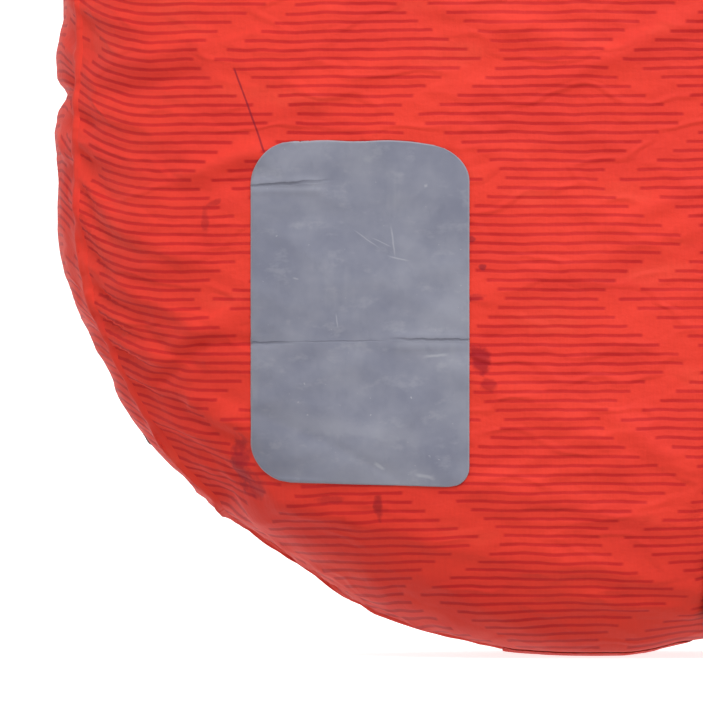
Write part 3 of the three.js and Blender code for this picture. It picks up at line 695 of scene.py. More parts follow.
denseShares = np.concatenate([np.linspace(0, 0.575, 136)[:-1], np.linspace(0.575, 1, 66)])
front = clothGrid(0, denseShares)
frontCloth = gridMesh("front_cloth", front["points"], front["u"], front["v"], markedPaint)
backShares = np.concatenate([np.linspace(0, 0.80, 88)[:-1], np.linspace(0.80, 1, 50)])
back = clothGrid(1, backShares)
backCloth = gridMesh("back_cloth", back["points"], back["u"], back["v"], clothPaint)
for cloth, node in ((frontCloth, "front_panel"), (backCloth, "back_panel")):
    thicken(cloth, sackBody["thickness"])
    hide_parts(node)
    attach(cloth, "sack")
print("cloth made:", len(frontCloth.data.vertices), len(backCloth.data.vertices))


def surfaceTree(*pieces):
    # the outer surface of these pieces, for laying other pieces on
    corners, faces = [], []
    for piece in pieces:
        start = len(corners)
        corners += [v.co.copy() for v in piece.data.vertices]
        faces += [[start + k for k in face.vertices] for face in piece.data.polygons]
    return BVHTree.FromPolygons(corners, faces)


clothTree = surfaceTree(frontCloth, backCloth)

# adhesive repair patch

repairPatch = {
    "left": -0.1254, "right": -0.0497, "bottom": 0.0602, "top": 0.1802,
    "corners": {"topLeft": 0.0155, "topRight": 0.0125, "bottomLeft": 0.0140, "bottomRight": 0.0070},
    "columns": 88, "rows": 140, "lift": 0.00035, "thickness": 0.00035,
}


def patchGrid():
    s, c = repairPatch, repairPatch["corners"]
    height = np.linspace(0, 1, s["rows"])[:, None]
    across = np.linspace(0, 1, s["columns"])[None, :]

    def inset(radius, distance):
        return radius - np.sqrt(np.maximum(radius ** 2 - np.clip(radius - distance, 0, radius) ** 2, 0))

    # rows crowd towards the corners so that their arcs are round
    z = s["bottom"] + (s["top"] - s["bottom"]) * (height - 0.045 * np.sin(2 * math.pi * height))
    left = s["left"] + np.maximum(inset(c["topLeft"], s["top"] - z), inset(c["bottomLeft"], z - s["bottom"]))
    right = s["right"] - np.maximum(inset(c["topRight"], s["top"] - z),
                                    inset(c["bottomRight"], z - s["bottom"]))
    x = left + (right - left) * across
    share = (z - s["bottom"]) / (s["top"] - s["bottom"])
    z = (z + (1 - share) * 0.0022 * (s["right"] - x) / (s["right"] - s["left"])
         - share ** 6 * 0.0030 * easeBetween(x, -0.072, -0.052)
         + 0.0002 * np.sin(x * 300) * share ** 4)
    edge = np.minimum(np.minimum(across * np.ones_like(z), 1 - across) * 0.076,
                      np.minimum(share, 1 - share) * 0.120)
    return x, z, edge


def addRepairPatch():
    x, z, edge = patchGrid()
    points = np.empty(x.shape + (3,))
    for index in np.ndindex(x.shape):
        points[index] = clothTree.ray_cast(Vector((x[index], -0.3, z[index])), Vector((0, 1, 0)))[0]
    # the film bridges the finest wrinkles
    for _ in range(6):
        depth = points[..., 1]
        depth[1:-1, 1:-1] = (depth[1:-1, 1:-1] * 2 + depth[:-2, 1:-1] + depth[2:, 1:-1]
                             + depth[1:-1, :-2] + depth[1:-1, 2:]) / 6
    lift = (repairPatch["lift"]
            + 0.00016 * (1 - easeBetween(edge, 0, 0.003)) * (gridNoise(x, z, 0.011, 5) > 0.55))
    for (x1, x2, height, deep) in ((-0.127, -0.098, 0.1646, 0.0004), (-0.127, -0.115, 0.1104, 0.0005),
                                   (-0.074, -0.049, 0.1106, 0.0005)):
        along = easeBetween(x, x1 - 0.004, x1) * (1 - easeBetween(x, x2 - 0.006, x2))
        off = (z - height) / 0.0013
        pinch = (np.exp(-(off + 1.1) ** 2) + np.exp(-(off - 1.1) ** 2)
                 - 0.6 * np.exp(-(off * 1.6) ** 2))
        lift = lift + along * deep * pinch
    points[..., 1] -= lift
    patch = gridMesh("patch_film", points, x, z, patchPaint)
    rim = patch.data.attributes.new("rim", "FLOAT", "POINT")
    rim.data.foreach_set("value", np.clip(1 - edge / 0.0011, 0, 1).astype(np.float32).ravel())
    thicken(patch, repairPatch["thickness"], 1)
    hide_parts("repair_patch")
    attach(patch, "sack")
    return patch


patch = addRepairPatch()
print("patch laid")

# webbing, plastic, steel, cord and thread


def webbingPaint(name, tone=(46, 48, 53), lightTone=(70, 72, 78)):
    p = Paint(name)
    place, across, up = p.cut()
    chevron = abs((across / 0.0044).fract() - 0.5) * 0.9
    weft = ((up / 0.0011) + chevron * 2.0).fract()
    rib = abs(weft - 0.5) * 2
    warp = abs((across / 0.0011).fract() - 0.5) * 2
    fuzz = p.noise(place, 700, 3, 0.6)
    worn = p.noise(place, 60, 4, 0.6)
    surfaceColour = p.mix(rib * 0.65 + fuzz * 0.35, colour(*tone), colour(*lightTone))
    surfaceColour = p.mix(p.smooth(worn, 0.52, 0.75) * 0.35, surfaceColour, colour(96, 97, 102))
    height = rib * 0.6 + warp * 0.25 + fuzz * 0.3
    return p.finish({"Base Color": surfaceColour, "Roughness": 0.74 + fuzz * 0.16, "Specular IOR Level": 0.3,
                     "Sheen Weight": 0.25, "Normal": p.bump(height, 0.6, 0.0005)})


def plasticPaint():
    p = Paint("mouldedPlastic")
    place = p.places()
    grain = p.noise(place, 1600, 3, 0.6)
    worn = p.noise(place, 90, 5, 0.65)
    surfaceColour = p.mix(worn, colour(27, 28, 30), colour(38, 39, 42))
    surfaceColour = p.mix(p.smooth(worn, 0.60, 0.75) * 0.4, surfaceColour, colour(70, 71, 74))
    return p.finish({"Base Color": surfaceColour, "Roughness": 0.36 + worn * 0.22,
                     "Normal": p.bump(grain * 0.6 + worn * 0.4, 0.25, 0.0003)})


def steelPaint():
    p = Paint("springSteel")
    place = p.places()
    drawn = p.noise(place, 900, 3, 0.6, (1, 0.2, 1))
    return p.finish({"Base Color": p.mix(drawn, colour(176, 178, 182), colour(206, 208, 210)),
                     "Metallic": 1.0, "Roughness": 0.22 + drawn * 0.2,
                     "Normal": p.bump(drawn, 0.15, 0.0001)})


def cordPaint():
    p = Paint("braidedCord")
    place, around, along = p.cut()
    first = abs((along / 0.0022 + around * 4).fract() - 0.5)
    second = abs((along / 0.0022 - around * 4).fract() - 0.5)
    braid = first.most(second)
    fleck = p.smooth((along / 0.0088 + around * 2).fract(), 0.86, 0.92)
    surfaceColour = p.mix(braid, colour(38, 40, 45), colour(66, 69, 76))
    surfaceColour = p.mix(fleck * 0.7, surfaceColour, colour(176, 60, 48))
    fuzz = p.noise(place, 60, 3, 0.6)
    return p.finish({"Base Color": surfaceColour, "Roughness": 0.66 + fuzz * 0.2,
                     "Normal": p.bump(braid, 0.6, 0.0004)})


def threadPaint(name, first, second):
    p = Paint(name)
    twist = p.noise(p.places(), 2600, 2, 0.5)
    return p.finish({"Base Color": p.mix(twist, colour(*first), colour(*second)),
                     "Roughness": 0.5 + twist * 0.2, "Sheen Weight": 0.2,
                     "Normal": p.bump(twist, 0.4, 0.0001)})


strapPaint = webbingPaint("strapWebbing")
tapePaint = webbingPaint("liningTape", (84, 88, 95), (112, 116, 124))
bucklePaint = plasticPaint()
steel = steelPaint()
cord = cordPaint()
redThread = threadPaint("redThread", (150, 30, 28), (186, 48, 42))
greyThread = threadPaint("greyThread", (92, 94, 100), (128, 130, 136))
print("hardware materials ready")

# helpers for strips, rings, tubes and stitching


def smoothLine(points, step):
    # an evenly spaced smooth line through these points
    points = [Vector(p) for p in points]
    path = [points[0] * 2 - points[1]] + points + [points[-1] * 2 - points[-2]]
    fine = []
    for a, b, c, d in zip(path, path[1:], path[2:], path[3:]):
        for k in range(12):
            t = k / 12
            fine.append(0.5 * ((2 * b) + (c - a) * t + (2 * a - 5 * b + 4 * c - d) * t ** 2
                               + (3 * b - a - 3 * c + d) * t ** 3))
    fine.append(points[-1])
    fine = np.array([tuple(p) for p in fine])
    length = runAlong(fine)
    steps = np.linspace(0, length[-1], max(int(length[-1] / step), 2) + 1)
    return np.column_stack([np.interp(steps, length, fine[:, k]) for k in range(fine.shape[1])])


def ride(piece, body, slot, *replaced):
    if replaced:
        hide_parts(*replaced)
    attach(piece, body)
    return piece


def shorten(piece):
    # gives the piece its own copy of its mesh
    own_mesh(piece)


def repaint(name, paint):
    # a node that stays as it is gets this material
    nodes[name].data.materials.clear()
    nodes[name].data.materials.append(paint)


def roundEdges(piece, width, segments=2):
    edge = piece.modifiers.new("edge", "BEVEL")
    edge.width, edge.segments, edge.limit_method = width, segments, "ANGLE"
    edge.angle_limit = math.radians(50)


def ribbon(name, centre, across, width, thickness, paint, columns=9, crown=0.0):
    # a flat strip along a line; across gives its width's direction at every point
    centre, across = np.asarray(centre), np.asarray(across)
    if across.ndim == 1:
        across = np.repeat(across[None, :], len(centre), 0)
    forward = np.gradient(centre, axis=0)
    outward = np.cross(across, forward)
    outward /= np.linalg.norm(outward, axis=1, keepdims=True)
    span = np.linspace(-width / 2, width / 2, columns)
    bow = crown * (1 - (span / (width / 2)) ** 2)
    points = (centre[:, None, :] + across[:, None, :] * span[None, :, None]
              + outward[:, None, :] * bow[None, :, None])
    run = runAlong(centre)
    u, v = np.broadcast_to(span[None, :], points.shape[:2]), np.broadcast_to(run[:, None], points.shape[:2])
    strip = gridMesh(name, points, u, v, paint)
    thicken(strip, thickness, 0)
    roundEdges(strip, thickness * 0.3)
    return strip


def tube(name, path, radius, sides, paint, closed=False):
    # a round cord along a path of points
    path = np.asarray(path)
    if closed:
        path = np.vstack([path, path[:1]])
        forward = np.roll(path[:-1], -1, 0) - np.roll(path[:-1], 1, 0)
        forward = np.vstack([forward, forward[:1]])
    else:
        forward = np.gradient(path, axis=0)
    forward /= np.linalg.norm(forward, axis=1, keepdims=True)
    side = np.cross(forward[0], (0, 0, 1))
    if np.linalg.norm(side) < 0.1:
        side = np.cross(forward[0], (0, 1, 0))
    sideways = []
    for f in forward:
        side = side - f * (side @ f)
        side = side / np.linalg.norm(side)
        sideways.append(side)
    sideways = np.array(sideways)
    second = np.cross(forward, sideways)
    if closed:  # spread the leftover turn along the ring
        gapTurn = math.atan2(sideways[-1] @ second[0], sideways[-1] @ sideways[0])
        turnBack = -gapTurn * np.linspace(0, 1, len(path))[:, None]
        sideways, second = (sideways * np.cos(turnBack) + second * np.sin(turnBack),
                             second * np.cos(turnBack) - sideways * np.sin(turnBack))
    turn = np.linspace(0, 2 * math.pi, sides + 1)
    radius = np.broadcast_to(np.asarray(radius, float).reshape(-1, 1), (len(path), 1)) \
        if np.ndim(radius) else radius
    ring = (sideways[:, None, :] * np.cos(turn)[None, :, None]
            + second[:, None, :] * np.sin(turn)[None, :, None])
    points = path[:, None, :] + ring * (radius[:, :, None] if np.ndim(radius) else radius)
    run = runAlong(path)
    u = np.broadcast_to(turn[None, :] / (2 * math.pi), points.shape[:2])
    v = np.broadcast_to(run[:, None], points.shape[:2])
    piece = gridMesh(name, points, u, v, paint)
    if not closed:
        closeEnds(piece)
    return piece


def closeEnds(piece):
    mesh = bmesh.new()
    mesh.from_mesh(piece.data)
    edges = [edge for edge in mesh.edges if edge.is_boundary]
    if edges:
        bmesh.ops.holes_fill(mesh, edges=edges, sides=0)
    bmesh.ops.recalc_face_normals(mesh, faces=mesh.faces)
    mesh.to_mesh(piece.data)
    mesh.free()
    for face in piece.data.polygons:
        face.use_smooth = len(face.vertices) <= 4


def ovalRing(name, section, paint, columns=240, lift=None):
    # a closed section of outwards and height, swept round the sack's oval
    section = section + section[:1]
    turn = np.linspace(0, 2 * math.pi, columns + 1)[None, :]
    outs = np.array([p[0] for p in section])[:, None]
    heights = np.array([p[1] for p in section])[:, None]
    if lift is not None:
        outs = outs + lift(turn)
    x, y = ovalPoint(turn + math.pi, sackBody["halfWidth"] + outs, sackBody["halfDepth"] + outs)
    points = np.stack([x, y, heights + 0 * x], axis=-1)
    run = np.concatenate([[0], np.cumsum(np.hypot(np.diff(x[0]), np.diff(y[0])))])
    u = np.broadcast_to(np.cumsum(np.concatenate([[0], np.hypot(
        np.diff([p[0] for p in section]), np.diff([p[1] for p in section]))]))[:, None], x.shape)
    piece = gridMesh(name, points, u, np.broadcast_to(run[None, :], x.shape), paint)
    closeEnds(piece)
    return piece


def roundSection(out, height, wide, high, corner, steps=3):
    # a rounded rectangle as outwards and height, anticlockwise
    points = []
    for cx, cy, start in ((1, 1, 0), (-1, 1, 90), (-1, -1, 180), (1, -1, 270)):
        for k in range(steps + 1):
            turn = math.radians(start + 90 * k / steps)
            points.append((out + cx * (wide / 2 - corner) + corner * math.cos(turn),
                           height + cy * (high / 2 - corner) + corner * math.sin(turn)))
    return points


def stitches(name, rows, paint, pitch=0.0030, length=0.0021, thick=0.00042):
    # thread laid along rows of (point, outward) pairs
    mesh = bmesh.new()
    for row in rows:
        points = np.array([tuple(p) for p, _ in row])
        outward = np.array([tuple(n) for _, n in row])
        run = runAlong(points)
        for place in np.arange(pitch / 2, run[-1], pitch):
            at = Vector([np.interp(place, run, points[:, k]) for k in range(3)])
            ahead = Vector([np.interp(min(place + 0.0008, run[-1]), run, points[:, k]) for k in range(3)])
            behind = Vector([np.interp(max(place - 0.0008, 0), run, points[:, k]) for k in range(3)])
            up = Vector([np.interp(place, run, outward[:, k]) for k in range(3)]).normalized()
            along = (ahead - behind).normalized()
            side = up.cross(along).normalized()
            turn = Matrix((along, side, along.cross(side))).transposed().to_4x4()
            shape = Matrix.Translation(at) @ turn @ Matrix.Diagonal((length / 2, thick, thick * 0.8, 1))
            bmesh.ops.create_uvsphere(mesh, u_segments=6, v_segments=4, radius=1, matrix=shape)
    return linkMesh(name, mesh, paint)


def stationPoint(strap, across, out, height):
    return Vector((strap["place"][0] + strap["along"][0] * across + strap["out"][0] * out,
                   strap["place"][1] + strap["along"][1] * across + strap["out"][1] * out, height))


def boxStitch(corner, right, up, outward, wide, high):
    # a square with a cross in it, as rows of point and outward
    at = lambda a, b: (corner + right * (a * wide) + up * (b * high), outward)
    return [[at(0, 0), at(1, 0)], [at(1, 0), at(1, 1)], [at(1, 1), at(0, 1)], [at(0, 1), at(0, 0)],
            [at(0, 0), at(1, 1)], [at(1, 0), at(0, 1)]]


# side seams: a felled strip, and the bound edge inside with a row of thread along it

sideSeam = {"lift": 0.0007, "insideDepth": 0.008}


def alongSeam(one, other, distance):
    # the cloth's points and normals at this distance from a seam: below zero is the other cloth
    grid, flip = (one, False) if distance >= 0 else (other, True)
    rows = grid["points"].shape[0]
    points, normals = np.empty((rows, 3)), np.empty((rows, 3))
    for k in range(rows):
        line = grid["points"][k][::-1] if flip else grid["points"][k]
        lean = grid["normal"][k][::-1] if flip else grid["normal"][k]
        line, lean = line[:24], lean[:24]
        run = runAlong(line)
        reach = min(abs(distance), run[-1])
        points[k] = [np.interp(reach, run, line[:, c]) for c in range(3)]
        normals[k] = [np.interp(reach, run, lean[:, c]) for c in range(3)]
    return points, normals


def addSideSeams():
    threadRows = []
    # at each seam the first grid starts and the second one ends
    for seam, (one, other) in enumerate(((front, back), (back, front))):
        distances = np.array([-0.0030, -0.0023, -0.0015, -0.0006, 0.0004, 0.0013, 0.0022, 0.0030, 0.0037])
        raised = np.array([-0.1, 0.35, 0.72, 0.95, 1.0, 0.95, 0.72, 0.35, -0.1]) * sideSeam["lift"]
        lines = [alongSeam(one, other, d) for d in distances]
        points = np.stack([p + n * (h - 0.0001) for (p, n), h in zip(lines, raised)], axis=1)
        keep = slice(8, len(points) - 12)
        points = points[keep]
        v = runAlong(points[:, 4])
        u = np.broadcast_to(distances[None, :], points.shape[:2])
        welt = gridMesh(f"seam_welt_{seam + 1}", points, u, np.broadcast_to(v[:, None], points.shape[:2]),
                        weltPaint)
        ride(welt, "sack", "shell_fabric")
        thicken(welt, 0.0003)
        shorten(welt)
        # the bound allowance stands inwards from the seam, sewn through along its side
        line, lean = alongSeam(one, other, 0.0)
        beside = alongSeam(one, other, 0.004)[0] - line
        beside /= np.linalg.norm(beside, axis=1)[:, None]
        threadRows.append([(p - n * 0.0050 + b * 0.0008, b)
                           for p, n, b in zip(line[16:-18], lean[16:-18], beside[16:-18])])
        depths = np.linspace(0.0022, sideSeam["insideDepth"] + 0.002, 5)
        inner = np.stack([line - lean * d for d in depths], axis=1)[12:-14]
        run = runAlong(inner[:, 0])
        tape = gridMesh(f"inner_tape_{seam + 1}", inner, np.broadcast_to(depths[None, :], inner.shape[:2]),
                        np.broadcast_to(run[:, None], inner.shape[:2]), tapePaint)
        thicken(tape, 0.0012, 0)
        ride(tape, "sack", "seam_tape", "seam_binding")
        shorten(tape)
    thread = stitches("seam_stitches", threadRows, redThread, 0.0034, 0.0021, 0.00020)
    ride(thread, "sack", "shell_fabric")
    shorten(thread)


addSideSeams()
print("side seams sewn")

# base pad

basePad = {"halfWidth": 0.0340, "halfDepth": 0.0430, "middle": -0.003, "thickness": 0.0018,
           "rimThickness": 0.0003}


def addBasePad():
    # a round pad sewn under the bowl: it follows the cloth and is flat where it stands
    s = basePad
    turn = np.linspace(0, 2 * math.pi, 97)
    rings = [0.02, 0.2, 0.4, 0.6, 0.75, 0.86, 0.93, 0.97]
    edge = [(0.99, 0.85), (1.0, 0.5), (0.99, 0.15)]
    section = [(r, 1.0) for r in rings] + edge + [(r, 0.0) for r in rings[::-1]]
    points = np.empty((len(section), len(turn), 3))
    for row, (share, depth) in enumerate(section):
        for column, angle in enumerate(turn):
            reach = share * (1 + 0.012 * math.sin(angle * 11) * share ** 6)
            x = s["middle"] + s["halfWidth"] * reach * math.cos(angle)
            y = s["halfDepth"] * reach * math.sin(angle)
            hit = clothTree.ray_cast(Vector((x, y, -0.02)), Vector((0, 0, 1)))[0]
            under = (hit.z if hit and hit.z < 0.02 else 0.0016) - 0.0002
            thick = s["rimThickness"] + (s["thickness"] - s["rimThickness"]) * (1 - share ** 3)
            points[row, column] = x, y, max(under - thick * depth, 0.0001 + 0.0002 * (1 - depth))
    pad = gridMesh("base_pad_cloth", points, points[..., 0], points[..., 1], clothPaint, flip=True)
    closeEnds(pad)
    ride(pad, "sack", "shell_fabric", "base_pad")


addBasePad()

# compression straps

strapSettings = {"width": 0.020, "thickness": 0.0014, "anchorWidth": 0.034, "gripHeight": 0.3415,
                 "lockOut": 0.0058, "turnRadius": 0.0036, "tailBottom": 0.284, "tabTurn": 0.0034,
                 "pivot": 0.3595, "footEnds": (0.060, 0.066, 0.034), "anchorLength": 0.030}
smoothTree = BVHTree.FromPolygons(
    [tuple(p) for g in (front, back) for p in g["base"].reshape(-1, 3)],
    [[s + r * g["base"].shape[1] + c, s + r * g["base"].shape[1] + c + 1,
      s + (r + 1) * g["base"].shape[1] + c + 1, s + (r + 1) * g["base"].shape[1] + c]
     for g, s in ((front, 0), (back, front["base"].shape[0] * front["base"].shape[1]))
     for r in range(g["base"].shape[0] - 1) for c in range(g["base"].shape[1] - 1)])


def strapSurface(strap, across, foot):
    # points down the sack's side and under its bowl, in the strap's own upright plane
    found = []
    out = Vector((*strap["out"], 0))
    for height in np.linspace(strapSettings["gripHeight"] - 0.0005, 0.135, 60):
        origin = stationPoint(strap, across, 0.05, height)
        found.append((smoothTree.ray_cast(origin, -out)[0], out))
    centre = stationPoint(strap, across, -0.075, 0.130)
    for turn in np.radians(np.linspace(1, 112, 110)):
        ray = out * math.cos(turn) - Vector((0, 0, 1)) * math.sin(turn)
        hit, normal, _, _ = smoothTree.ray_cast(centre + ray * 0.35, -ray)
        inward = -(hit - stationPoint(strap, across, 0, hit.z)).dot(out)
        if hit.z < strap["foot"] and turn > 0.5 or inward > foot:
            break
        found.append((hit, normal if normal.dot(ray) > 0 else -normal))
    return found


def strapSheet(name, strap, halfWidth, lift, foot, length, columns, thickness):
    spans = np.linspace(-halfWidth, halfWidth, columns)
    lines = []
    for across in spans:
        line = strapSurface(strap, across, foot)
        points = np.array([tuple(p) for p, _ in line])
        lean = np.array([tuple(n) for _, n in line])
        for _ in range(8):
            lean[1:-1] = (lean[:-2] + lean[1:-1] * 2 + lean[2:]) / 4
        lean /= np.linalg.norm(lean, axis=1, keepdims=True)
        points = points + lean * lift(points[:, 2])[:, None]
        run = runAlong(points)
        lines.append((points, run))
    total = min(run[-1] for _, run in lines)
    start = max(total - length, 0)
    steps = np.linspace(start, total, int((total - start) / 0.0020))
    grid = np.stack([np.column_stack([np.interp(steps, run, points[:, c]) for c in range(3)])
                     for points, run in lines], axis=1)
    sheet = gridMesh(name, grid, np.broadcast_to(spans[None, :], grid.shape[:2]),
                     np.broadcast_to(steps[:, None], grid.shape[:2]), strapPaint)
    thicken(sheet, thickness, 0)
    roundEdges(sheet, thickness * 0.3)
    return sheet, grid


lidDome = {"half": (0.1965, 0.0985), "base": 0.4274, "height": 0.056, "power": 2.2}


def domeHeight(share):
    d = lidDome
    return d["base"] + d["height"] * np.maximum(1 - share ** d["power"], 0) ** (1 / d["power"])


def lidHeight(x, y):
    (wide, deep), power = lidDome["half"], sackBody["ovalPower"]
    return domeHeight((np.abs(x / wide) ** power + np.abs(y / deep) ** power) ** (1 / power))


def arcLine(out, height, radius, start, end, steps):
    turns = [math.radians(start + (end - start) * k / steps) for k in range(steps + 1)]
    return [(out + radius * math.cos(t), height + radius * math.sin(t)) for t in turns]


def stationLine(strap, line, step=0.0016):
    flat = smoothLine([(a, b, 0) for a, b in line], step)
    return np.array([tuple(stationPoint(strap, 0, out, height)) for out, height, _ in flat])


def addStrap(number, strap):
    s = strapSettings
    along, out = Vector((*strap["along"], 0)), Vector((*strap["out"], 0))
    up = Vector((0, 0, 1))
    lift = lambda z: (0.0001 + 0.0009 * easeBetween(z, 0.090, 0.150)
                      + 0.0012 * easeBetween(z, 0.240, 0.332))
    run, _ = strapSheet(f"strap_webbing_{number}", strap, s["width"] / 2, lift, s["footEnds"][number - 1],
                           1.0, 9, s["thickness"])
    ride(run, "sack", "webbing", f"strap_run_{number}")
    shorten(run)
    over, anchorGrid = strapSheet(f"anchor_cloth_{number}", strap, s["anchorWidth"] / 2,
                                  lambda z: 0.0014 + 0 * z, s["footEnds"][number - 1] + 0.002,
                                  s["anchorLength"], 15, 0.0011)
    ride(over, "sack", "webbing", f"strap_anchor_{number}")
    shorten(over)
    rows, columns = anchorGrid.shape[:2]
    sweep = np.gradient(anchorGrid, axis=1)
    climb = np.gradient(anchorGrid, axis=0)
    lean = np.cross(climb, sweep)
    lean /= np.linalg.norm(lean, axis=-1, keepdims=True)
    if lean[0, columns // 2] @ np.array(tuple(out)) < 0:
        lean = -lean
    at = lambda r, c: (anchorGrid[int(round(r)), int(round(c))] + lean[int(round(r)), int(round(c))] * 0.0007,
                       lean[int(round(r)), int(round(c))])
    low, high, left, right = 1, rows - 2, 1, columns - 2
    steps = 14
    walk = lambda r1, c1, r2, c2: [at(r1 + (r2 - r1) * k / steps, c1 + (c2 - c1) * k / steps)
                                   for k in range(steps + 1)]
    threadRows = [walk(low, left, high, left), walk(low, right, high, right),
                  walk(low, left, low, right), walk(high, left, high, right),
                  walk(low, left, high, right), walk(high, left, low, right)]
    thread = stitches(f"anchor_stitches_{number}", threadRows, greyThread)
    ride(thread, "sack", "webbing")
    shorten(thread)

    # webbing sewn on the lid, round the buckle's top bar and back up
    line = []
    for inward in (-0.058, -0.044, -0.030, -0.018, -0.008, -0.001):
        p = stationPoint(strap, 0, inward, 0)
        clear = 0.0024
        line.append((inward + clear * (0.6 if inward > -0.012 else 0.2), float(lidHeight(p.x, p.y)) + clear))
    line += [(0.0055, 0.4315), (0.0066, 0.4270), (0.0067, 0.4200), (0.0067, 0.3900), (0.0067, 0.3680)]
    line += arcLine(s["lockOut"], s["pivot"], s["tabTurn"], 15, -190, 9)
    line += [(0.00495, 0.3664), (0.00495, 0.392)]
    tab = ribbon(f"tab_webbing_{number}", stationLine(strap, line), tuple(along), s["width"],
                 0.0012, strapPaint)
    ride(tab, "lid", "webbing", f"lid_tab_{number}")
    # sewing on the lid and through both layers of the fold
    threadRows = []
    first, second = -0.054, -0.034
    for across1, across2 in ((-0.0075, -0.0075), (0.0075, 0.0075), (-0.0075, 0.0075), (0.0075, -0.0075)):
        row = []
        for k in range(7):
            inward = first + (second - first) * k / 6
            across = across1 + (across2 - across1) * k / 6
            p = stationPoint(strap, 0, inward, 0)
            spot = stationPoint(strap, across, inward + 0.0005, float(lidHeight(p.x, p.y)) + 0.0032)
            row.append((spot, up))
        threadRows.append(row)
    for inward in (first, second):
        p = stationPoint(strap, 0, inward, 0)
        high = float(lidHeight(p.x, p.y)) + 0.0032
        threadRows.append([(stationPoint(strap, a, inward + 0.0005, high), up) for a in (-0.0075, 0.0075)])
    for height in (0.3760, 0.3785, 0.3880):
        threadRows.append([(stationPoint(strap, a, 0.0074, height), out) for a in (-0.0088, 0.0088)])
    ride(stitches(f"tab_stitches_{number}", threadRows, greyThread), "lid", "webbing")

    # free end: over the gripping bar and down to its grip
    tail = arcLine(s["lockOut"], s["gripHeight"], s["turnRadius"], 180, 0, 10)
    tail += [(0.0094, 0.334), (0.0096, 0.320), (0.0093, 0.302), (0.0094, s["tailBottom"] - 0.0002)]
    strip = ribbon(f"tail_webbing_{number}", stationLine(strap, tail), tuple(along), s["width"],
                   0.0013, strapPaint)
    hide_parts(f"strap_tail_{number}")
    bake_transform(strip)

    # grip: the webbing's end folded on itself three times, with ribs to pull on
    low, high = s["tailBottom"] - 0.0245, s["tailBottom"] - 0.0005
    middle = 0.0094
    section = []
    steps = 34
    for k in range(steps + 1):
        share = k / steps
        height = low + (high - low) * share
        wave = 0.00035 * math.cos(share * 2 * math.pi * 6)
        end = 1 - min(abs(share - 0.5) * 2, 1) ** 14
        section.append((height, (0.0017 + wave) * max(end, 0.0) ** 0.5 + 0.0001))
    spans = np.linspace(-0.0108, 0.0108, 15)
    outer, inner = [], []
    for height, half in section:
        soft = 1 - np.abs(spans / 0.0108) ** 10 * 0.75
        face = lambda way: [tuple(stationPoint(strap, a, middle + way * half * f, height))
                            for a, f in zip(spans, soft)]
        outer.append(face(1))
        inner.append(face(-1)[::-1])
    loop = np.concatenate([np.array(outer), np.array(inner)], axis=1)
    loop = np.concatenate([loop, loop[:, :1]], axis=1)
    u = np.broadcast_to(np.concatenate([spans, spans[::-1], spans[:1]])[None, :], loop.shape[:2])
    v = np.broadcast_to(np.array([h for h, _ in section])[:, None], loop.shape[:2])
    grip = gridMesh(f"pull_grip_{number}", loop, u, v, strapPaint)
    closeEnds(grip)
    ride(grip, f"pull_{number}", "webbing", f"pull_tab_{number}")
    threadRows = [[(stationPoint(strap, a, middle + 0.0021, low + 0.003), out),
                   (stationPoint(strap, a, middle + 0.0021, high - 0.003), out)] for a in (-0.0085, 0.0085)]
    ride(stitches(f"grip_stitches_{number}", threadRows, greyThread), f"pull_{number}", "webbing")
    repaint(f"ladder_lock_{number}", bucklePaint)


for number, strap in enumerate(straps, 1):
    addStrap(number, strap)
print("straps made")

# lid

lid = {"skirtOut": 0.0029, "skirtBottom": 0.3680, "skirtTop": 0.4240, "pipingRadius": 0.0020,
       "thickness": 0.0006}


def lidSag(x, y, share):
    # the lid's cloth: drawn down by the straps, slack between them, gathered at the piping
    total = 0.0012 * gridNoise(x, y, 0.060, 101, 1.4, 0.4) + 0.0006 * gridNoise(x, y, 0.028, 102, 1.8, -0.5)
    total = total + 0.0006 * ridges(x, y, 0.034, 103, 2.8, 0.3) + 0.0004 * ridges(x, y, 0.026, 104, 2.8, -0.9)
    around = np.arctan2(y / lidDome["half"][1], x / lidDome["half"][0])
    gathers = (np.sin(around * 58 + 1.5 * np.sin(around * 5))
               + 0.5 * np.sin(around * 97 + 2 * np.sin(around * 3)))
    total = total + (0.0007 * gathers * np.exp(-((1 - share) / 0.085) ** 1.3)
                     * easeBetween(1 - share, 0.004, 0.03))
    for strap in straps:
        right = (x - strap["place"][0]) * strap["along"][0] + (y - strap["place"][1]) * strap["along"][1]
        inward = -((x - strap["place"][0]) * strap["out"][0] + (y - strap["place"][1]) * strap["out"][1])
        near = ((1 - easeBetween(np.abs(right), 0.011, 0.030)) * (1 - easeBetween(inward, 0.058, 0.085))
                * (inward < 0.12))
        total = total * (1 - near) - 0.0008 * near
        # folds that fan from the strap's sewn end
        away = np.hypot(right, inward - 0.055)
        fan = np.arctan2(right, inward - 0.055)
        fold = np.exp(-(away / 0.030) ** 2) * easeBetween(away, 0.006, 0.016) * (inward > 0.045)
        total = total + 0.0009 * fold * np.cos(fan * 9)
    underHandle = (1 - easeBetween(np.abs(y), 0.0115, 0.022)) * (1 - easeBetween(np.abs(x), 0.078, 0.095))
    total = total * (1 - underHandle) - 0.0004 * underHandle
    return np.clip(total, -0.0028, 0.0016)


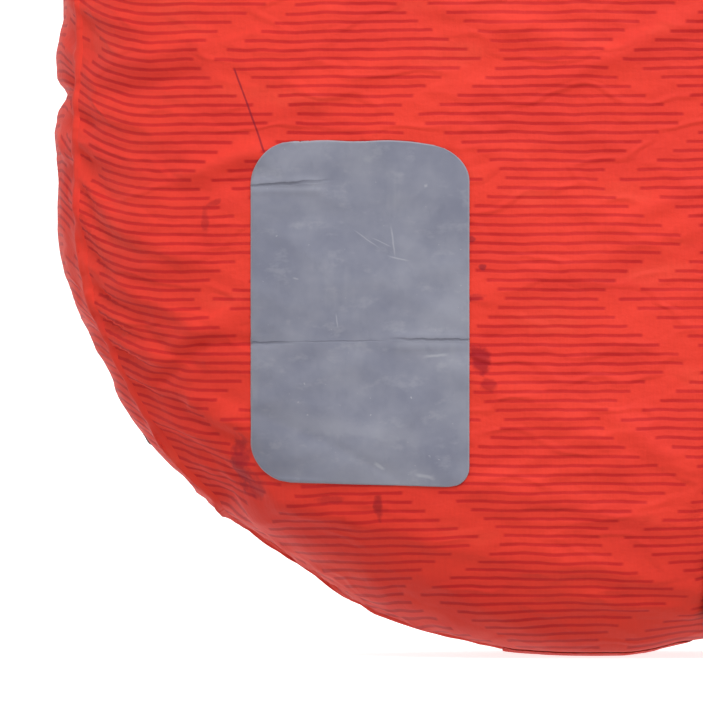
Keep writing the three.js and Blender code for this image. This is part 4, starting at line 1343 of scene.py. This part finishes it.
def addLid():
    # skirt
    turn = np.linspace(0, 2 * math.pi, 361)[None, :]
    height = np.linspace(lid["skirtBottom"], lid["skirtTop"], 26)[:, None]
    x0, y0 = ovalPoint(turn + math.pi, 0.196, 0.098)
    run = np.concatenate([[0], np.cumsum(np.hypot(np.diff(x0[0]), np.diff(y0[0])))])[None, :] + 0 * height
    share = (height - lid["skirtBottom"]) / (lid["skirtTop"] - lid["skirtBottom"])
    nearEdges = np.exp(-share / 0.2) + np.exp(-(1 - share) / 0.2)
    ripple = 0.00022 * np.sin(run / 0.0085 * 2 * math.pi + 2 * np.sin(run * 31)) * nearEdges
    wave = 0.00022 * gridNoise(run, height, 0.035, 111, 1.6, 0.2)
    outs = lid["skirtOut"] + ripple + wave
    x, y = ovalPoint(turn + math.pi, sackBody["halfWidth"] + outs, sackBody["halfDepth"] + outs)
    points = np.stack([x, y, height + 0 * x], axis=-1)
    skirt = gridMesh("skirt_cloth", points, run - 0.2, height + 0 * x, clothPaint)
    thicken(skirt, lid["thickness"], 0)
    ride(skirt, "lid", "shell_fabric", "lid_skirt")
    # folded binding on its lower edge and piping on its upper one
    bindingSection = roundSection(0.00275, 0.36855, 0.0021, 0.0041, 0.0009)
    binding = ovalRing("edge_binding", bindingSection, strapPaint, 300)
    ride(binding, "lid", "webbing", "lid_edge_binding")
    rope = lid["pipingRadius"]
    ropeSection = [(0.00275 + rope * math.cos(2 * math.pi * k / 12),
                    0.425 + rope * math.sin(2 * math.pi * k / 12)) for k in range(12)]
    piping = ovalRing("piping_cord", ropeSection, strapPaint, 300)
    ride(piping, "lid", "webbing", "lid_piping")
    # domed top
    share = np.concatenate([np.linspace(0, 0.90, 74)[:-1], np.linspace(0.90, 1.0, 26)])[:, None]
    turn = np.linspace(0, 2 * math.pi, 321)[None, :]
    x, y = ovalPoint(turn + math.pi, lidDome["half"][0] * share, lidDome["half"][1] * share)
    z = domeHeight(share) + lidSag(x, y, share + 0 * x) + 0 * x
    rim = easeBetween(share, 0.985, 1.0)
    z = z * (1 - rim) + 0.4262 * rim
    points = np.stack([x, y, z], axis=-1)
    # the cut coordinates keep each spoke's length, so that the pattern keeps its size near the rim
    steps = np.linalg.norm(np.diff(points, axis=0), axis=2).cumsum(axis=0)
    spoke = np.vstack([np.zeros((1, points.shape[1])), steps]) / np.maximum(np.hypot(x, y), 0.0001)
    top = gridMesh("top_cloth", points, x * spoke, y * spoke + 0.01, clothPaint, flip=True)
    thicken(top, lid["thickness"], -1)
    ride(top, "lid", "shell_fabric", "lid_top")
    # one row of thread beside the piping, one above the binding
    turn = np.linspace(0, 2 * math.pi, 500)
    x, y = ovalPoint(turn, sackBody["halfWidth"] + 0.0036, sackBody["halfDepth"] + 0.0036)
    rows = []
    for height in (0.3745, 0.4205):
        rows.append([(Vector((a, b, height)), Vector((a / 0.193 ** 2, b / 0.095 ** 2, 0)).normalized())
                     for a, b in zip(x, y)])
    ride(stitches("skirt_stitches", rows, redThread, 0.0042, 0.0026, 0.00032), "lid", "shell_fabric")


addLid()


def addLidHandle():
    top = 0.4834
    foot = 0.0016
    line = [(-0.076, float(lidHeight(0.076, 0)) + foot), (-0.062, float(lidHeight(0.062, 0)) + foot),
            (-0.052, float(lidHeight(0.052, 0)) + foot + 0.0004), (-0.042, top + 0.005),
            (-0.028, top + 0.0148), (-0.012, top + 0.0195)]
    line = line + [(-a, b) for a, b in line[::-1]]
    path = smoothLine([(a, 0, b) for a, b in line], 0.0016)
    handle = ribbon("handle_webbing", path, (0, 1, 0), 0.020, 0.0018, strapPaint, 11, 0.0)
    ride(handle, "lid", "webbing", "lid_handle")
    # box stitches where the handle's two ends are sewn to the lid
    rows = []
    for side in (-1, 1):
        high = lambda x: float(lidHeight(x, 0)) + foot + 0.0012
        corners = [(0.0735, -0.0075), (0.0735, 0.0075), (0.0560, 0.0075), (0.0560, -0.0075)]
        pairs = list(zip(corners, corners[1:] + corners[:1]))
        pairs += [(corners[0], corners[2]), (corners[1], corners[3])]
        for (x1, y1), (x2, y2) in pairs:
            rows.append([(Vector((side * (x1 + (x2 - x1) * k / 6), y1 + (y2 - y1) * k / 6,
                                  high(x1 + (x2 - x1) * k / 6))), Vector((0, 0, 1))) for k in range(7)])
    ride(stitches("handle_stitches", rows, greyThread), "lid", "webbing")


addLidHandle()
print("lid made")

# mouth: gathered hem, drawcord, cord lock

mouth = {"halfWidth": 0.040, "halfDepth": 0.031, "height": 0.4556, "hemRadius": 0.0042, "cordRadius": 0.0015,
         "spacing": 0.0052, "cordEnd": 0.124, "lockX": 0.078, "springWire": 0.00022, "springTurns": 3}


def addMouth():
    m = mouth
    turn = np.linspace(0, 2 * math.pi, 241)[:-1]
    pleat = np.abs(np.sin(turn * 17 + 0.8 * np.sin(turn * 4)))
    ring = np.column_stack([m["halfWidth"] * np.cos(turn), m["halfDepth"] * np.sin(turn),
                            m["height"] + 0.0002 * np.sin(turn * 9)])
    radius = m["hemRadius"] * (0.86 + 0.14 * pleat ** 0.5)
    hem = tube("hem_cloth", ring, np.append(radius, radius[0]), 16, clothPaint, closed=True)
    ride(hem, "throat", "shell_fabric", "mouth_hem")
    half = m["spacing"] / 2
    ends = [(m["cordEnd"], m["height"] - 0.0054), (m["cordEnd"] - 0.010, m["height"] - 0.0016),
            (m["cordEnd"] - 0.017, m["height"]), (m["lockX"], m["height"]),
            (m["halfWidth"] + 0.009, m["height"]), (m["halfWidth"] + 0.0045, m["height"]),
            (m["halfWidth"] + 0.003, m["height"])]
    path = [(x, half, z) for x, z in ends]
    path += [(m["halfWidth"] * math.cos(t), m["halfDepth"] * math.sin(t), m["height"])
             for t in np.radians(np.arange(14, 347, 16.6))]
    path += [(x, -half, z) for x, z in ends[::-1]]
    drawcord = tube("drawcord_braid", smoothLine(path, 0.0012), m["cordRadius"] * 0.97, 12, cord)
    ride(drawcord, "throat", "cord", "drawcord")
    t = np.linspace(0, 2 * math.pi, 121)[:-1]
    scale = 0.00098
    knot = np.column_stack([(2 + np.cos(3 * t)) * np.cos(2 * t), (2 + np.cos(3 * t)) * np.sin(2 * t),
                            np.sin(3 * t) * 1.4])
    knotPlace = np.array([m["cordEnd"] + 0.0054, 0, m["height"] - 0.0065])
    knot = knot[:, [0, 2, 1]] * scale * np.array([1.05, 1.25, 1.0]) + knotPlace
    ride(tube("cord_knot", knot, m["cordRadius"] * 0.95, 10, cord, closed=True), "throat", "cord",
         "cord_end_knot")
    # the lock's spring: a coil of wire that fills the spring part's box
    low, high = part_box("cord_lock_spring")
    wire = m["springWire"]
    turn = np.linspace(0, 2 * math.pi * m["springTurns"], 24 * m["springTurns"] + 1)
    reach = (high[0] - low[0]) / 2 - wire
    coil = np.column_stack([(low[0] + high[0]) / 2 + reach * np.cos(turn),
                            high[1] - wire - (high[1] - low[1] - 2 * wire) * turn / turn[-1],
                            (low[2] + high[2]) / 2 + reach * np.sin(turn)])
    spring = tube("lock_spring", coil, wire, 8, steel)
    ride(spring, "cord_lock", "steel", "cord_lock_spring")
    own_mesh(spring)
    for name, paint in (("cord_lock_barrel", bucklePaint), ("cord_lock_button", bucklePaint),
                        ("eyelet_front", steel), ("eyelet_back", steel)):
        repaint(name, paint)


addMouth()
print("mouth made")

# haul loop on the back

haulLoop = {"x": -0.035, "top": 0.132, "length": 0.066, "width": 0.020, "out": 0.095}


def addHaulLoop():
    h = haulLoop
    low = h["top"] - h["length"]
    line = [(0.0024, h["top"]), (0.0024, low + 0.040), (0.0024, low + 0.008)]
    line += arcLine(0.0064, low + 0.004, 0.004, 180, 360, 8)[1:]
    line += [(0.0104, low + 0.012), (0.0102, h["top"] - 0.032), (0.0092, h["top"] - 0.016),
             (0.0052, h["top"] - 0.004), (0.0044, h["top"])]
    path = smoothLine([(h["x"], h["out"] + out, height) for out, height in line], 0.0014)
    loop = ribbon("haul_webbing", path, (1, 0, 0), h["width"], 0.0013, strapPaint, 9)
    ride(loop, "haul_loop", "webbing", "haul_loop")
    # its sewn plate
    columns, rows = 18, 14
    across, rise = np.meshgrid(np.linspace(-0.0148, 0.0148, columns), np.linspace(-0.0108, 0.0108, rows))
    points = np.stack([h["x"] + across, h["out"] + 0.0019 + 0.0001 * np.cos(across * 900) + 0 * rise,
                       h["top"] + 0.0135 + rise], axis=-1)
    plate = gridMesh("haul_anchor_cloth", points, across, rise, strapPaint, flip=True)
    thicken(plate, 0.0012, 0)
    roundEdges(plate, 0.0004)
    ride(plate, "sack", "webbing", "haul_loop_anchor")
    corner = Vector((h["x"] - 0.0125, h["out"] + 0.0027, h["top"] + 0.0050))
    rows = boxStitch(corner, Vector((1, 0, 0)), Vector((0, 0, 1)), Vector((0, 1, 0)), 0.025, 0.017)
    ride(stitches("haul_stitches", rows, greyThread), "sack", "webbing")


addHaulLoop()
print("haul loop made")

for piece in (frontCloth, backCloth, patch):
    shorten(piece)
